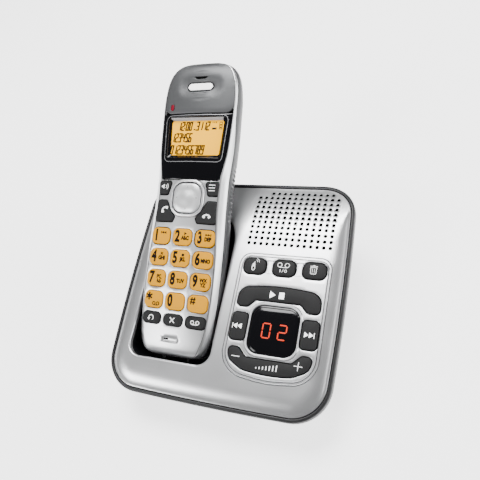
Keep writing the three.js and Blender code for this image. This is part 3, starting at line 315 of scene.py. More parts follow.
def triangulate(outer, holes=(), lines=(), spacing=2.0, fill=None, near=0.45):
    """Points, triangles and boundary loops of the inside of an outline without its holes."""
    points, edges = [], []
    for outline in [outer, *holes, *lines]:
        start, count = len(points), len(outline)
        points.extend(outline.tolist())
        edges.extend((start + k, start + (k + 1) % count) for k in range(count))

    def within(places):
        keep = inside(places, outer)
        for hole in holes:
            keep &= ~inside(places, hole)
        return keep

    fill = lattice(outer, spacing) if fill is None else fill
    fill = fill[within(fill)]
    taken = np.array(points)
    if len(fill):
        gaps = by_parts(fill, lambda part: np.linalg.norm(part[:, None] - taken, axis=2).min(1))
        points.extend(fill[gaps > near * spacing].tolist())
    net = delaunay_2d_cdt([Vector(p) for p in points], edges, [], 0, 1e-5)
    flat = np.array([tuple(v) for v in net[0]])
    triangles = np.array([face for face in net[2] if len(face) == 3])
    a, b, c = (flat[triangles[:, k]] for k in range(3))
    area = (b[:, 0] - a[:, 0]) * (c[:, 1] - a[:, 1]) - (b[:, 1] - a[:, 1]) * (c[:, 0] - a[:, 0])
    triangles[area < 0] = triangles[area < 0][:, ::-1]
    triangles = triangles[within((a + b + c) / 3) & (np.abs(area) > 1e-9)]
    used = np.unique(triangles)
    renumber = np.full(len(flat), -1)
    renumber[used] = np.arange(len(used))
    triangles = renumber[triangles]
    return flat[used], triangles, loops_of(triangles.tolist())


def walled(flat, triangles, loops, z, rim):
    """A top with rounded rims and walls; rim gives a loop's radius, the foot of its wall and its steps."""
    verts, faces, feet = list(lifted(flat, z)), triangles.tolist(), []
    for loop in loops:
        edge = rim(flat[loop], z[loop])
        if edge is None:
            continue
        radius, foot, steps = edge
        turns = math.pi / 2 * np.arange(1, steps + 1) / steps
        levels = [(radius * math.sin(turn), z[loop] - radius * (1 - math.cos(turn))) for turn in turns]
        ring = loop
        for offset, height in [*levels, (radius, foot)]:
            new = np.arange(len(verts), len(verts) + len(loop))
            verts.extend(lifted(grown(flat[loop], offset), height))
            faces.extend(zip(ring, new, np.roll(new, -1), np.roll(ring, -1)))
            ring = new
        feet.append((loop, ring))
    return verts, faces, feet


def plate(outer, holes, top, low, fillet=0.3, hole_fillet=0.3, lines=(), spacing=2.0, steps=4):
    """A plate between two height fields, with rounded rims."""
    top_holes = [grown(hole, hole_fillet) for hole in holes]
    flat, triangles, loops = triangulate(grown(outer, -fillet), top_holes, lines, spacing)

    def rim(loop, _):
        radius = fillet if signed_area(loop) > 0 else hole_fillet
        return radius, low(grown(loop, radius)), steps

    verts, faces, feet = walled(flat, triangles, loops, top(flat), rim)
    under = np.arange(len(verts), len(verts) + len(flat))
    for loop, ring in feet:
        under[loop] = ring
    verts.extend(lifted(flat, low(flat)))
    faces.extend(under[triangles[:, ::-1]].tolist())
    return verts, faces


def loft(rings, capped=True):
    """Quads between rings of the same number of points, with flat caps."""
    count = len(rings[0])
    faces = []
    for start in range(0, (len(rings) - 1) * count, count):
        for k in range(count):
            j = (k + 1) % count
            faces.append([start + k, start + j, start + count + j, start + count + k])
    if capped:
        faces.append(list(range(count))[::-1])
        faces.append(list(range((len(rings) - 1) * count, len(rings) * count)))
    return np.concatenate(rings), faces


def lathe(profile, sides=48, x=0.0, y=0.0):
    return loft([lifted(circle(x, y, radius, sides), z) for radius, z in profile])


def prism(outline, low, high):
    return loft([lifted(outline, low), lifted(outline, high)])


# Finishes

Finish = namedtuple("Finish", "material slot")


def surface(name, slot, colour, rough, metal=0.0, coat=0.0, spot=0.05, spot_scale=400.0, grain=0.0,
            grain_scale=3000.0, spread=0.05, tint=None, glow=None, strength=0.0, shine=0.5):
    """A moulded or painted surface: mottled colour, roughness that varies and a fine grain."""
    material = bpy.data.materials.new(name)
    material.use_nodes = True
    tree = material.node_tree
    shader = tree.nodes["Principled BSDF"]
    where = tree.nodes.new("ShaderNodeTexCoord")

    def noise(scale, detail):
        node = tree.nodes.new("ShaderNodeTexNoise")
        node.inputs["Scale"].default_value = scale
        node.inputs["Detail"].default_value = detail
        tree.links.new(where.outputs["Object"], node.inputs["Vector"])
        return node.outputs["Fac"]

    for socket, value in (("Metallic", metal), ("Coat Weight", coat), ("Coat Roughness", 0.1),
                          ("Specular IOR Level", shine)):
        shader.inputs[socket].default_value = value
    mix = tree.nodes.new("ShaderNodeMix")
    mix.data_type = "RGBA"
    mix.inputs[6].default_value = (*(c * (1 - spot) for c in colour), 1)
    mix.inputs[7].default_value = (*(min(1.0, c * (1 + spot)) for c in tint or colour), 1)
    tree.links.new(noise(spot_scale, 3.0), mix.inputs[0])
    tree.links.new(mix.outputs[2], shader.inputs["Base Color"])
    spreader = tree.nodes.new("ShaderNodeMapRange")
    spreader.inputs["To Min"].default_value = max(0.0, rough - spread)
    spreader.inputs["To Max"].default_value = min(1.0, rough + spread)
    tree.links.new(noise(60.0, 4.0), spreader.inputs["Value"])
    tree.links.new(spreader.outputs["Result"], shader.inputs["Roughness"])
    if grain > 0:
        bump = tree.nodes.new("ShaderNodeBump")
        bump.inputs["Strength"].default_value = grain
        bump.inputs["Distance"].default_value = 0.0001
        tree.links.new(noise(grain_scale, 2.0), bump.inputs["Height"])
        tree.links.new(bump.outputs["Normal"], shader.inputs["Normal"])
    if glow:
        shader.inputs["Emission Color"].default_value = (*glow, 1)
        shader.inputs["Emission Strength"].default_value = strength
    return Finish(material, slot)


PAINT = {"metal": 0.85, "coat": 0.15, "spot_scale": 1500, "grain": 0.08}
SATIN = {"metal": 0.75, "spot": 0.03, "grain": 0.05}
LIT = {"spot": 0.02, "glow": (1, 1, 1)}
AMBER_GLOW = {"tint": (0.85, 0.43, 0.0), "glow": (1.0, 0.43, 0.0), "strength": 1.0}
RED_GLOW = {"glow": (1.0, 0.07, 0.02), "strength": 0.7}

SILVER = surface("silver_paint", "silver_paint", (0.62, 0.625, 0.635), 0.30, **PAINT)
SHELL_SILVER = surface("handset_silver", "silver_paint", (0.60, 0.605, 0.615), 0.32, **PAINT)
PEARL = surface("pearl_pad", "silver_paint", (0.74, 0.745, 0.75), 0.36, **SATIN)
RIM_SILVER = surface("rim_silver", "silver_paint", (0.82, 0.82, 0.83), 0.3, **SATIN)
LINE_GREY = surface("frame_line_grey", "silver_paint", (0.24, 0.24, 0.25), 0.35, metal=0.6)
# Painted shade: a near-black line laid in the panel's grooves and along the seam round the keypad's face.
SEAM_SHADE = surface("seam_shadow", "silver_paint", (0.05, 0.05, 0.052), 0.5, metal=0.3, shine=0.2)
GREY = surface("grey_plastic", "grey_plastic", (0.085, 0.087, 0.09), 0.36, metal=0.35, grain=0.1, shine=0.35)
BACK_GREY = surface("back_shell_grey", "grey_plastic", (0.055, 0.056, 0.058), 0.42, metal=0.35, grain=0.2,
                    grain_scale=2200)
# Painted light: a lighter grey for the top wall of the handset's sunk window only, where light falls on it.
LIT_WALL_GREY = surface("display_wall_painted_light", "grey_plastic", (0.30, 0.30, 0.31), 0.25, metal=0.3, spread=0.03)
CHARCOAL = surface("charcoal_housing", "charcoal_plastic", (0.017, 0.017, 0.018), 0.42, spot=0.08, grain=0.2,
                   grain_scale=2500, shine=0.3)
BUTTON = surface("button_charcoal", "charcoal_plastic", (0.017, 0.017, 0.0175), 0.58, spot=0.06, grain=0.15,
                 shine=0.15)
BLACK = surface("cradle_black", "black_plastic", (0.004, 0.004, 0.005), 0.45, spot=0.1, grain=0.15, shine=0.2)
# Felt and painted shade: a near-black felt, made darker than felt is so the holes over it read as deep shade.
FELT_AND_SHADE = surface("speaker_felt_and_shade", "black_plastic", (0.002, 0.002, 0.002), 0.95, spot=0.3, spot_scale=3000,
               grain=0.6, shine=0.0)
GLOSS = surface("gloss_black", "gloss_black", (0.002, 0.002, 0.003), 0.09, spot=0.1, spread=0.02, shine=0.35)
LED = surface("red_digits", "gloss_black", (0.5, 0.03, 0.01), 0.3, shine=0.2, **RED_GLOW)
AMBER = surface("amber_keys", "amber_keys", (0.74, 0.325, 0.0), 0.55, spot=0.04, grain=0.08, shine=0.1)
# Painted glow: the white insert and the white marks give off light of their own, though they are plastic and
# print, no lamps.
GLOWING_WHITE = surface("white_insert", "white_insert", (0.95, 0.95, 0.95), 0.25, spread=0.03, strength=1.8, **LIT)
GLOWING_MARK = surface("glowing_white_mark", None, (0.92, 0.92, 0.92), 0.5, strength=2.0, **LIT)
GLOWING_SIGN = surface("thin_glowing_mark", None, (0.75, 0.75, 0.75), 0.5, strength=0.9, **LIT)
FAINT = surface("faint_mark", None, (0.42, 0.42, 0.43), 0.5, spot=0.03)
INK = surface("black_mark", None, (0.004, 0.003, 0.003), 0.6, shine=0.1)
# Painted shade: black for the microphone's slot, drawn flat where its hole would be dark.
MIC_SLOT_SHADE = Finish(INK.material, "black_plastic")
LAMP = surface("red_lamp", "red_lamp", (0.20, 0.006, 0.02), 0.35, spot=0.1, spread=0.03, shine=0.12)
SCREEN = surface("amber_screen", "module_plastic", (0.80, 0.40, 0.0), 0.45, spot=0.03, spot_scale=25,
                 shine=0.05, **AMBER_GLOW)
SEGMENT = surface("screen_segment", "module_plastic", (0.02, 0.01, 0.004), 0.5, spot=0.1, shine=0.1)
MODULE = surface("module_black", "module_plastic", (0.012, 0.012, 0.012), 0.5, spot=0.1, grain=0.2)
SOCKET_BLACK = Finish(MODULE.material, "black_plastic")
RUBBER = surface("rubber_feet", "rubber", (0.02, 0.02, 0.021), 0.75, spot=0.15, grain=0.5, grain_scale=1500)
STEEL = surface("steel", "steel", (0.62, 0.63, 0.65), 0.28, metal=1.0, spot=0.04, grain=0.1)
GOLD = surface("gold_contact", "contact_metal", (0.83, 0.60, 0.24), 0.22, metal=1.0, spread=0.04)
# Painted shade: the charge pins' nickel is made near black, for the shade they sit in deep in the well.
SHADED_NICKEL = surface("nickel_painted_shade", "contact_metal", (0.04, 0.04, 0.04), 0.35, metal=1.0)
BOARD = surface("green_board", None, (0.02, 0.10, 0.045), 0.45, spot=0.2, grain=0.3)
CELL = surface("cell_wrap", None, (0.02, 0.12, 0.28), 0.3, coat=0.4)


def finish_solids():
    """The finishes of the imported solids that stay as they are."""
    finishes = {
        BOARD: ["base_circuit_board", "handset_circuit_board"],
        MODULE: ["led_display_module", "base_speaker", "earpiece_speaker", "lcd_module"],
        STEEL: ["microphone"],
        RUBBER: ["keypad_mat", "navigation_pivot"],
        CELL: ["battery_pack"],
        GOLD: ["handset_charge_contact_left", "handset_charge_contact_right"],
    }
    for finish, names in finishes.items():
        for name in names:
            materials = nodes[name].data.materials
            materials.clear()
            materials.append(finish.material)


# Strokes and marks: a shape is an outline, or an outline with a list of its holes

def moved(shapes, *by):
    """The same shapes at another place in their plane."""
    return [(s[0] + by, [hole + by for hole in s[1]]) if isinstance(s, tuple) else s + by for s in shapes]


def bar(x0, y0, x1, y1, width):
    """A straight stroke with square ends."""
    a, b = np.array([x0, y0], float), np.array([x1, y1], float)
    along = unit(b - a)
    side = np.array([-along[1], along[0]]) * width / 2
    return np.array([a - side, b - side, b + side, a + side])


def across(x, y, half, width):
    return bar(x - half, y, x + half, y, width)


def upright(x, y, half, width):
    return bar(x, y - half, x, y + half, width)


def arrow(tip, tail, y, half, up=False):
    """A triangle that points along x, or along y with x and y changed over."""
    points = np.array([(tip, y), (tail, y - half), (tail, y + half)], float)
    points = points[:, ::-1] if up else points
    return points if signed_area(points) > 0 else points[::-1]


def ring_mark(x, y, radius, width, sides=24):
    return circle(x, y, radius + width / 2, sides), [circle(x, y, radius - width / 2, sides)]


def arc_mark(x, y, radius, width, start, end, steps=14):
    turn = np.radians(np.linspace(start, end, steps))
    outer, inner = radius + width / 2, radius - width / 2
    return np.concatenate([polar(x, y, outer, turn), polar(x, y, inner, turn[::-1])])


def tape(reach, radius, width, drop, stroke, sides=24):
    """Two reels and the tape under them."""
    reels = [ring_mark(side * reach, 0, radius, width, sides) for side in (-1, 1)]
    return [*reels, across(0, -drop, reach, stroke)]


def cross(reach, gap, width):
    return [bar(-reach, -reach, reach, reach, width), bar(-reach, reach, -gap, gap, width),
            bar(gap, -gap, reach, -reach, width)]


def asterisk(reach, width):
    points = []
    for turn in np.radians(np.arange(90, 450, 60)):
        along = np.array([math.cos(turn), math.sin(turn)])
        side = np.array([along[1], -along[0]]) * width / 2
        notch = turn + math.pi / 6
        points += [along * reach + side, along * reach - side]
        points.append((math.cos(notch) * width, math.sin(notch) * width))
    return np.array(points)


def letters(text, x, y, size, width, bold):
    """Outlines of plain digits and letters, each with its holes, set round the middle (x, y)."""
    curve = bpy.data.curves.new("text", "FONT")
    curve.body, curve.size, curve.offset, curve.resolution_u = text, size, bold, 4
    curve.align_x = curve.align_y = "CENTER"
    obj = new_object("text", curve)
    mesh = bpy.data.meshes.new_from_object(obj.evaluated_get(bpy.context.evaluated_depsgraph_get()))
    bpy.data.objects.remove(obj)
    work = bmesh.new()
    work.from_mesh(mesh)
    bpy.data.meshes.remove(mesh)
    bmesh.ops.remove_doubles(work, verts=work.verts, dist=0.0005)
    bmesh.ops.triangulate(work, faces=work.faces)
    work.verts.ensure_lookup_table()
    points = np.array([(v.co.x * width + x, v.co.y + y) for v in work.verts])
    triangles = []
    for face in work.faces:
        triangle = [v.index for v in face.verts]
        area = signed_area(points[triangle])
        if abs(area) > 1e-9:
            triangles.append(triangle if area > 0 else triangle[::-1])
    work.free()
    loops = [points[loop] for loop in loops_of(triangles)]
    outers = [loop for loop in loops if signed_area(loop) > 0]
    holes = [loop for loop in loops if signed_area(loop) < 0]
    return [(outer, [hole for hole in holes if inside(hole[:1], outer)[0]]) for outer in outers]


# Seven segments: the ends of each in half widths and half heights, and those that a digit lights
ENDS = {"a": (-1, 1, 1, 1), "b": (1, 1, 1, 0), "c": (1, 0, 1, -1), "d": (-1, -1, 1, -1), "e": (-1, 0, -1, -1),
        "f": (-1, 1, -1, 0), "g": (-1, 0, 1, 0)}
SEGMENTS = {"0": "abcdef", "1": "bc", "2": "abged", "3": "abgcd", "4": "fgbc", "5": "afgcd", "6": "afgedc",
            "7": "abc", "8": "abcdefg", "9": "abfgcd"}
LED_HALF, LED_STROKE, LED_CUT = (2.0, 3.6), 0.65, 0.144
LCD_HALF_W, LCD_STROKE, LCD_PITCH, LCD_SLANT = 0.6, 0.78, 2.1, 0.12


def led_digit(digit, x, y):
    """A digit of pointed segments."""
    shapes = []
    for key in SEGMENTS[digit]:
        a, b = np.array(ENDS[key]).reshape(2, 2) * LED_HALF
        along = unit(b - a)
        side, point = np.array([-along[1], along[0]]) * LED_STROKE / 2, along * LED_STROKE / 2
        a, b = a + along * LED_CUT, b - along * LED_CUT
        near, far = a + point, b - point
        shapes.append(np.array([a, near - side, far - side, b, far + side, near + side]))
    return moved(shapes, x, y)


def lcd_row(digits, x, y, height):
    """A row of narrow digits with square strokes that lean a little."""
    shapes = []
    for k, digit in enumerate(digits):
        for key in SEGMENTS[digit]:
            wide = LCD_HALF_W + (LCD_STROKE / 2 if key in "ad" else 0)
            x0, y0, x1, y1 = np.array(ENDS[key]) * (wide, height / 2, wide, height / 2)
            points = bar(x0, y0, x1, y1, LCD_STROKE)
            points[:, 0] += points[:, 1] * LCD_SLANT
            shapes.append(points + (x + k * LCD_PITCH, y))
    return shapes


def marks(name, shapes, height, place, finish, body, lift=0.03):
    """Thin marks that follow a surface: each shape is an outline, or an outline with its holes."""
    verts, faces = [], []
    for shape in shapes:
        outer, holes = shape if isinstance(shape, tuple) else (shape, [])
        flat, triangles, _ = triangulate(dense(outer, 0.7), [dense(hole, 0.7) for hole in holes], spacing=0.8)
        faces.extend((triangles + len(verts)).tolist())
        verts.extend(lifted(flat, height(flat) + lift))
    add(name, (verts, faces), place, finish, body, angle=None)


def key_piece(name, body, outline, low, top, place, finish, crown, fillet, inset=0.12, spacing=1.2, dish=0.0):
    """A button with a rounded rim and a slightly domed or dished top. Returns the height of its top."""
    outline = grown(outline, -inset)
    rim, middle = grown(outline, -fillet), outline.mean(0)
    dome_reach, dish_reach = 4.0, 8.0

    def height(points):
        dome = 1 - (1 - np.clip(distance_to(points, rim) / dome_reach, 0, 1)) ** 2
        away = np.linalg.norm(points - middle, axis=1)
        return top - crown + crown * dome - dish * smooth_step(1 - away / dish_reach)

    shape = plate(outline, [], height, level(low), fillet, spacing=spacing, steps=5)
    add(name, shape, place, finish, body, body, 50)
    return height


# Base: its plans

def base_plan(inset, back_inset=None):
    """The base's rounded and slightly bowed plan, moved in by an inset."""
    half = BASE_W / 2 - inset
    front, back = inset - BASE_D / 2, BASE_D / 2 - (inset if back_inset is None else back_inset)
    radius = max(BASE_CORNER - inset, 4.0)
    right = [(half, front, radius), (half, back, radius)]
    points = rounded(right + mirrored(right), 12, 22)
    side = np.clip(points[:, 0] / half, -1, 1)
    along = np.clip(2 * points[:, 1] / BASE_D, -1, 1)
    points[:, 0] += side * SIDE_BOW * (1 - along ** 2)
    points[:, 1] -= np.where(points[:, 1] < 0, FRONT_BOW * (1 - side ** 2), 0)
    return points


def cradle_plan(inset):
    """The handset's well: straight in front and at the sides, half an ellipse behind."""
    half, length = CRADLE_HALF - inset, CRADLE_END - inset
    front, radius = CRADLE_FRONT + inset, max(CRADLE_CORNER - inset, 1.6)
    corner = polar(half - radius, front + radius, radius, np.linspace(-math.pi / 2, 0, 13))
    ys = np.linspace(front + radius, CRADLE_BEND, 14)[1:-1]
    right = np.concatenate([corner, np.column_stack([np.full(len(ys), half), ys])])
    turn = np.linspace(0, math.pi, 49)
    end = np.column_stack([half * np.cos(turn), CRADLE_BEND + length * np.sin(turn)])
    return np.concatenate([right, end, flipped(right)]) + (CRADLE_X, 0)


def about_panel(right, foot=(), top=(), steps=8, step=0.9):
    """An outline about the panel's centre line, from the corners on its right and one at its foot or top."""
    return dense(rounded([*foot, *right, *top, *mirrored(right)], steps), step) + (PANEL_X, 0)


BAR_HALF, NOTCH_X, NOTCH_REACH, BAR_R = 21.7, 11.9, 14.6, 2.2


def play_plan():
    """An arch, with a notch over the window."""
    foot, shoulder, rise = -11.3, 15.5, 0.6
    notch_y = WINDOW_Y + NOTCH_REACH
    arc = [(shoulder * k / 6, rise - (k / 6) ** 2, 0) for k in range(6, 0, -1)]
    side = [(NOTCH_X, notch_y, BAR_R), (NOTCH_X + notch_y - foot, foot, BAR_R), (BAR_HALF, foot, BAR_R),
            (BAR_HALF, -1.0, 6.0)]
    return about_panel(side + arc, top=[(0, rise, 0)])


def volume_plan():
    """A bar with a bowed foot and a notch under the window."""
    top, notch_y = -32.1, WINDOW_Y - NOTCH_REACH
    arc = [(9.0 * k / 6, PANEL_FOOT + 0.45 * (k / 6) ** 2, 0) for k in range(1, 7)]
    side = [(13.0, -42.7, 10.0), (BAR_HALF - 1.1, -38.6, 6.0), (BAR_HALF, top, BAR_R),
            (NOTCH_X + top - notch_y, top, BAR_R), (NOTCH_X, notch_y, BAR_R)]
    return about_panel(arc + side, foot=[(0, PANEL_FOOT, 0)])


COVER_EDGE, CRADLE = base_plan(COVER_INSET), cradle_plan(0)
SMALL = [dense(rectangle(PANEL_X + x, 10.8, 12.2, 8.9, 3.4, 10)) for x in (-16, 0, 16)]
SKIP = [dense(rectangle(PANEL_X + x, -21.7, 8.5, 14.3, BAR_R)) for x in (-18.3, 18.3)]
PLAY, VOLUME = play_plan(), volume_plan()
WINDOW = dense(rectangle(PANEL_X, WINDOW_Y, 25, 24.4, 6, 12), 0.7)
STRIP = dense(rectangle(PANEL_X, 10.9, 36, 7.3, 2, 6), 0.6)
BORDER = about_panel([(23.9, -44.4, 12.5), (23.9, 17.2, 5.5)], foot=[(0, -47.2, 60.0)], steps=16, step=0.8)
BORDER_HALF, SHADE_LINE_HALF = 0.72, 0.14
GROOVE_DEEP, RIM_RISE, STRIP_DEEP = 0.35, 0.5, 0.45
GRILLE_Y, PITCH_X, PITCH_Y = 39.97, 3.404, 3.25
GRILLE = rectangle(PANEL_X, GRILLE_Y, 14.2 * PITCH_X, 11.2 * PITCH_Y, 1.0)


# Base: its cover, tub and well

def roll(y):
    """Height of the cover's curve: level in front, falling over the grille to the back edge."""
    past = y - ROLL_START
    return COVER_Z - past * np.abs(past) / (2 * ROLL_R)


def soft_min(a, b, k):
    """The lower of two heights, blended where they are closer than k."""
    h = np.clip(0.5 + 0.5 * (b - a) / k, 0, 1)
    return b * (1 - h) + a * h - k * h * (1 - h)


def cover_height(points):
    """The cover's top: its bevel and roll, the panel's groove, the window's rim and the buttons' strip."""
    share = np.clip(distance_to(points, COVER_EDGE) / BEVEL, 0, 1)
    bevel = COVER_EDGE_Z + (COVER_Z - COVER_EDGE_Z) * (1 - (1 - share) ** 3)
    groove = np.abs(distance_to(points, BORDER) - BORDER_HALF)
    return (soft_min(bevel, roll(points[:, 1]), 0.5) - GROOVE_DEEP * smooth_step((0.38 - groove) / 0.22)
            + RIM_RISE * smooth_step((depth_in(points, WINDOW) + 1.8) / 0.5)
            - STRIP_DEEP * smooth_step((depth_in(points, STRIP) + 0.05) / 0.35))


def grille_places():
    """Eleven rows of fourteen holes, the last one shorter at both ends."""
    rows, columns = 11, 14
    for row in range(rows):
        for column in range(columns) if row < rows - 1 else range(2, columns - 1):
            across_by, along_by = column - (columns - 1) / 2, row - (rows - 1) / 2
            yield PANEL_X + across_by * PITCH_X, GRILLE_Y + along_by * PITCH_Y


def cover_fill():
    """Points for the cover's net: rows along its bevel and a lattice centred on the grille's holes."""
    depths = (0.65, 0.9, 1.3, 1.9, 2.7, 3.6, 4.7, 6.0, 7.4, 8.8, 10.2, 11.6)
    rows = [base_plan(COVER_INSET + depth) for depth in depths]
    x, y = np.meshgrid(np.arange(-48, 15) * PITCH_X / 2, np.arange(-57, 12) * PITCH_Y / 2)
    grid = np.column_stack([x.ravel() + PANEL_X, y.ravel() + GRILLE_Y])
    flat = (distance_to(grid, COVER_EDGE) > 10.4) & (distance_to(grid, BORDER) > 1.3)
    grid = grid[inside(grid, GRILLE) | (flat & inside(grid, COVER_EDGE))]
    return np.concatenate([row[~inside(row, GRILLE)] for row in rows] + [grid])


def base_cover():
    # Each hole with the radius of its rim and the depth of its wall
    holes = [(CRADLE, 0.9, 3.6), (grown(WINDOW, GAP), 0.3, 2.4)]
    holes += [(grown(plan, GAP), 0.4, 2.4) for plan in [*SMALL, *SKIP, PLAY, VOLUME]]
    holes += [(circle(x, y, 0.95, 12), 0.12, 1.0) for x, y in grille_places()]
    middles = np.array([outline.mean(0) for outline, _, _ in holes])
    edge_r, edge_foot = 0.45, -1.2
    lines = [grown(BORDER, d) for d in (-1.1, -0.88, -0.56, -0.34, 0.34, 0.56, 0.88, 1.1)]
    lines += [grown(WINDOW, d) for d in (1.3, 1.55, 1.8)]
    lines += [grown(STRIP, d) for d in (0.05, -0.06, -0.18, -0.3)]

    def rim(loop, z):
        if signed_area(loop) > 0:
            return edge_r, edge_foot, 5
        _, radius, depth = holes[np.linalg.norm(middles - loop.mean(0), axis=1).argmin()]
        return radius, z - depth, 1 if radius < 0.2 else 5

    shown = [grown(outline, radius) for outline, radius, _ in holes]
    net = triangulate(grown(COVER_EDGE, -edge_r), shown, lines, 1.0, cover_fill(), 0.5)
    verts, faces, _ = walled(*net, cover_height(net[0]), rim)
    add("base_cover", (verts, faces), SLAB, SILVER, "base", "base_top_cover", 40)
    # Painted shade: dark lines laid along the bottoms of the panel's two grooves.
    grooves = [(grown(BORDER, reach + SHADE_LINE_HALF), [grown(BORDER, reach - SHADE_LINE_HALF)])
               for reach in (BORDER_HALF, -BORDER_HALF)]
    marks("panel_groove_shade", grooves, cover_height, SLAB, SEAM_SHADE, "base")
    # Felt and painted shade: a near-black sheet just under the grille's holes, so they read as shade.
    felt_and_shade = plate(GRILLE, [], lambda p: cover_height(p) - 0.4, lambda p: cover_height(p) - 0.95, 0.05)
    add("grille_felt_and_shade", felt_and_shade, SLAB, FELT_AND_SHADE, "base", angle=60)


BACK_Y = (turned(BASE_TILT) @ Vector((0, 62.5 - 2.1, -3.5))).y

# The tub's profile from its inside up over the bead and down: inset, share of the bead's height, rise
TUB = [(4.1, 0, -3.5), (4.1, 0, -1.6), (2, 0, -1.5), (2, 1, -0.45), (1.85, 1, -0.12), (1.55, 1, 0),
       (1.1, 1, -0.02), (0.7, 1, -0.14), (0.38, 1, -0.38), (0.14, 0.86, 0), (0.02, 0.7, 0), (0, 0.5, 0),
       (0, 0, 0.55), (0.1, 0, 0.3), (0.3, 0, 0.1), (0.55, 0, 0), (1.2, 0, -1.1), (1.8, 0, -2.6),
       (2.1, 0, -3.5)]
TUB_FOOT = [(0.0, 2.4), (0.15, 1.75), (0.5, 1.35), (1.0, 1.2)]
TUB_THICK, TUB_FLOOR, BEAD_HIGH, BEAD_RISE = 2.0, 3.2, 5.4, 0.9
WALL_INSET, WALL_TOP, SIDE_SLOPE = TUB[-1][0], -TUB[-1][2], 0.45


def tub_wall(thick, height):
    """The slanting wall's ring where it meets a height over the table."""
    tilt = math.radians(BASE_TILT)
    # The plan is nearly linear in its insets, point by point
    near, side_far, back_far = 2.0, 16.0, 9.0
    plan = base_plan(near)
    inward = (base_plan(side_far, near) - plan) / (side_far - near)
    forward = (base_plan(near, back_far) - plan) / (back_far - near)
    drop = np.full((len(plan), 1), 20.0)
    for _ in range(12):
        inset = WALL_INSET + thick - near
        side, back = (inset + slope * (drop - WALL_TOP) for slope in (SIDE_SLOPE, math.tan(tilt)))
        p = plan + inward * side + forward * back
        drop = (BASE_HEIGHT + p[:, 1:] * math.sin(tilt) - height) / math.cos(tilt)
    return lifted(p, -drop[:, 0])


def base_housing():
    """The tub: the bead round the cover, the slanting walls and the flat underside."""
    rings = [tub_wall(TUB_THICK, TUB_FLOOR)]
    for inset, share, rise in TUB:
        plan = base_plan(inset)
        bead = soft_min(np.full(len(plan), BEAD_HIGH), roll(plan[:, 1]) + BEAD_RISE, 0.4)
        rings.append(lifted(plan, share * bead + rise))
    rings += [tub_wall(inset, height) for inset, height in TUB_FOOT]
    below, foot_r, foot_deep, screw_r, screw_deep = -4, 5.3, 2.2, 3.1, 4.6
    cuts = [prism(circle(x, y, foot_r, 40), below, foot_deep) for x, y in FEET.values()]
    cuts += [prism(circle(x, y, screw_r, 32), below, screw_deep) for x, y in SCREWS.values()]
    for x, width, height in SOCKETS.values():
        pocket = rectangle(x, SOCKET_Z, width + 2 * GAP, height + 2 * GAP, 0.8, 4)
        cuts.append(loft([standing(pocket, y) for y in (BACK_Y - SOCKET_DEEP, BACK_Y + 4)]))
    tub = carved(mesh_of(loft(rings), SLAB), [mesh_of(cut, TABLE) for cut in cuts])
    dress("base_tub", tub, CHARCOAL, "base", "base_bottom_housing", 32)


def cradle_liner():
    """The black well, with walls that taper in to a floor along the handset's back, and the pins in it."""
    top, low = COVER_Z - 3.0, -26.0
    foot, grip = STATIONS[3], STATIONS[9]
    lean = math.radians(HAND_LEAN) - math.atan2((grip[3] - foot[3]) * HAND_D, (grip[0] - foot[0]) * HAND_L)
    grip_y = grip[0] * HAND_L - HAND_FOOT
    seat = Matrix.Translation(HAND_PLACE) @ turned(HAND_LEAN) @ Vector((0, grip_y, -HAND_D))

    def well(inset_top, inset_low, under, steps=5):
        upper, lower = cradle_plan(inset_top), cradle_plan(inset_low)
        end = np.ones(len(upper))
        for _ in range(8):
            y = (upper + (lower - upper) * end[:, None])[:, 1]
            floor = seat.z + (y - seat.y) * math.tan(lean) - under / math.cos(lean)
            end = np.clip((top - np.minimum(floor, top)) / (top - low), 0, 1)
        shares = [end * k / steps for k in range(steps + 1)]
        return [lifted(upper + (lower - upper) * s[:, None], top - (top - low) * s) for s in shares]

    rings = well(-1.6, 1.8, 2.0)[::-1] + well(0.0, 3.4, 0.4)
    tip = (-HAND_FOOT - GAP, -9.5)
    pins = {side: HAND @ Matrix.Translation((x, *tip)) @ turned(90) for side, x in PINS.items()}
    bores = [mesh_of(prism(circle(0, 0, 1.5, 24), 0, 13), pin) for pin in pins.values()]
    dress("cradle_well", carved(mesh_of(loft(rings), SLAB), bores), BLACK, "base", "cradle_liner", 40)
    profile = [(0.35, 0.03), (0.7, 0.16), (1.0, 0.42), (1.16, 0.8), (1.2, 1.2), (1.2, 9.0)]
    # The pins' near-black metal is painted shade of the well.
    for side, pin in pins.items():
        add(f"charge_pin_{side}", lathe(profile, 24), pin, SHADED_NICKEL, "base", f"base_charge_contact_{side}", 40)


# Base: its buttons, window and small pieces

def find_mark():
    """A handset with two waves beside its aerial."""
    body = rounded([(-1, -3.3, 0.9), (0.9, -3, 0.9), (0.75, -0.8, 0.5), (0.45, 1, 0.3), (-0.55, 0.9, 0.3),
                    (-1.1, -1, 0.5)], 5)
    hole = rounded([(-0.65, -2.9, 0.5), (0.5, -2.7, 0.5), (0.4, -0.9, 0.3), (-0.65, -1.0, 0.3)], 4)
    waves = [arc_mark(0.5, 1.7, radius, 0.24, -5, 75, 9) for radius in (1.1, 2.0)]
    return [(body, [hole]), bar(0.1, 0.9, 0.3, 1.9, 0.3), *waves]


def answer_mark():
    """A tape over the signs for on and off."""
    low = -3.15
    on, off = upright(-1.4, low, 0.75, 0.36), ring_mark(1.5, low, 0.62, 0.28)
    return [*tape(2.0, 1.15, 0.32, 1.31, 0.32), on, bar(-0.4, -3.9, 0.3, -2.4, 0.24), off]


def bin_mark():
    right = [(1.5, -2.5, 0.4), (1.7, 1.2, 0.2)]
    body = rounded(right + mirrored(right), 3)
    lid = [across(0, 1.7, 1.9, 0.3), across(0, 2.15, 0.5, 0.3)]
    return [(body, [grown(body, -0.28)]), *lid, *(upright(side, -0.6, 1.1, 0.2) for side in (-0.5, 0.5))]


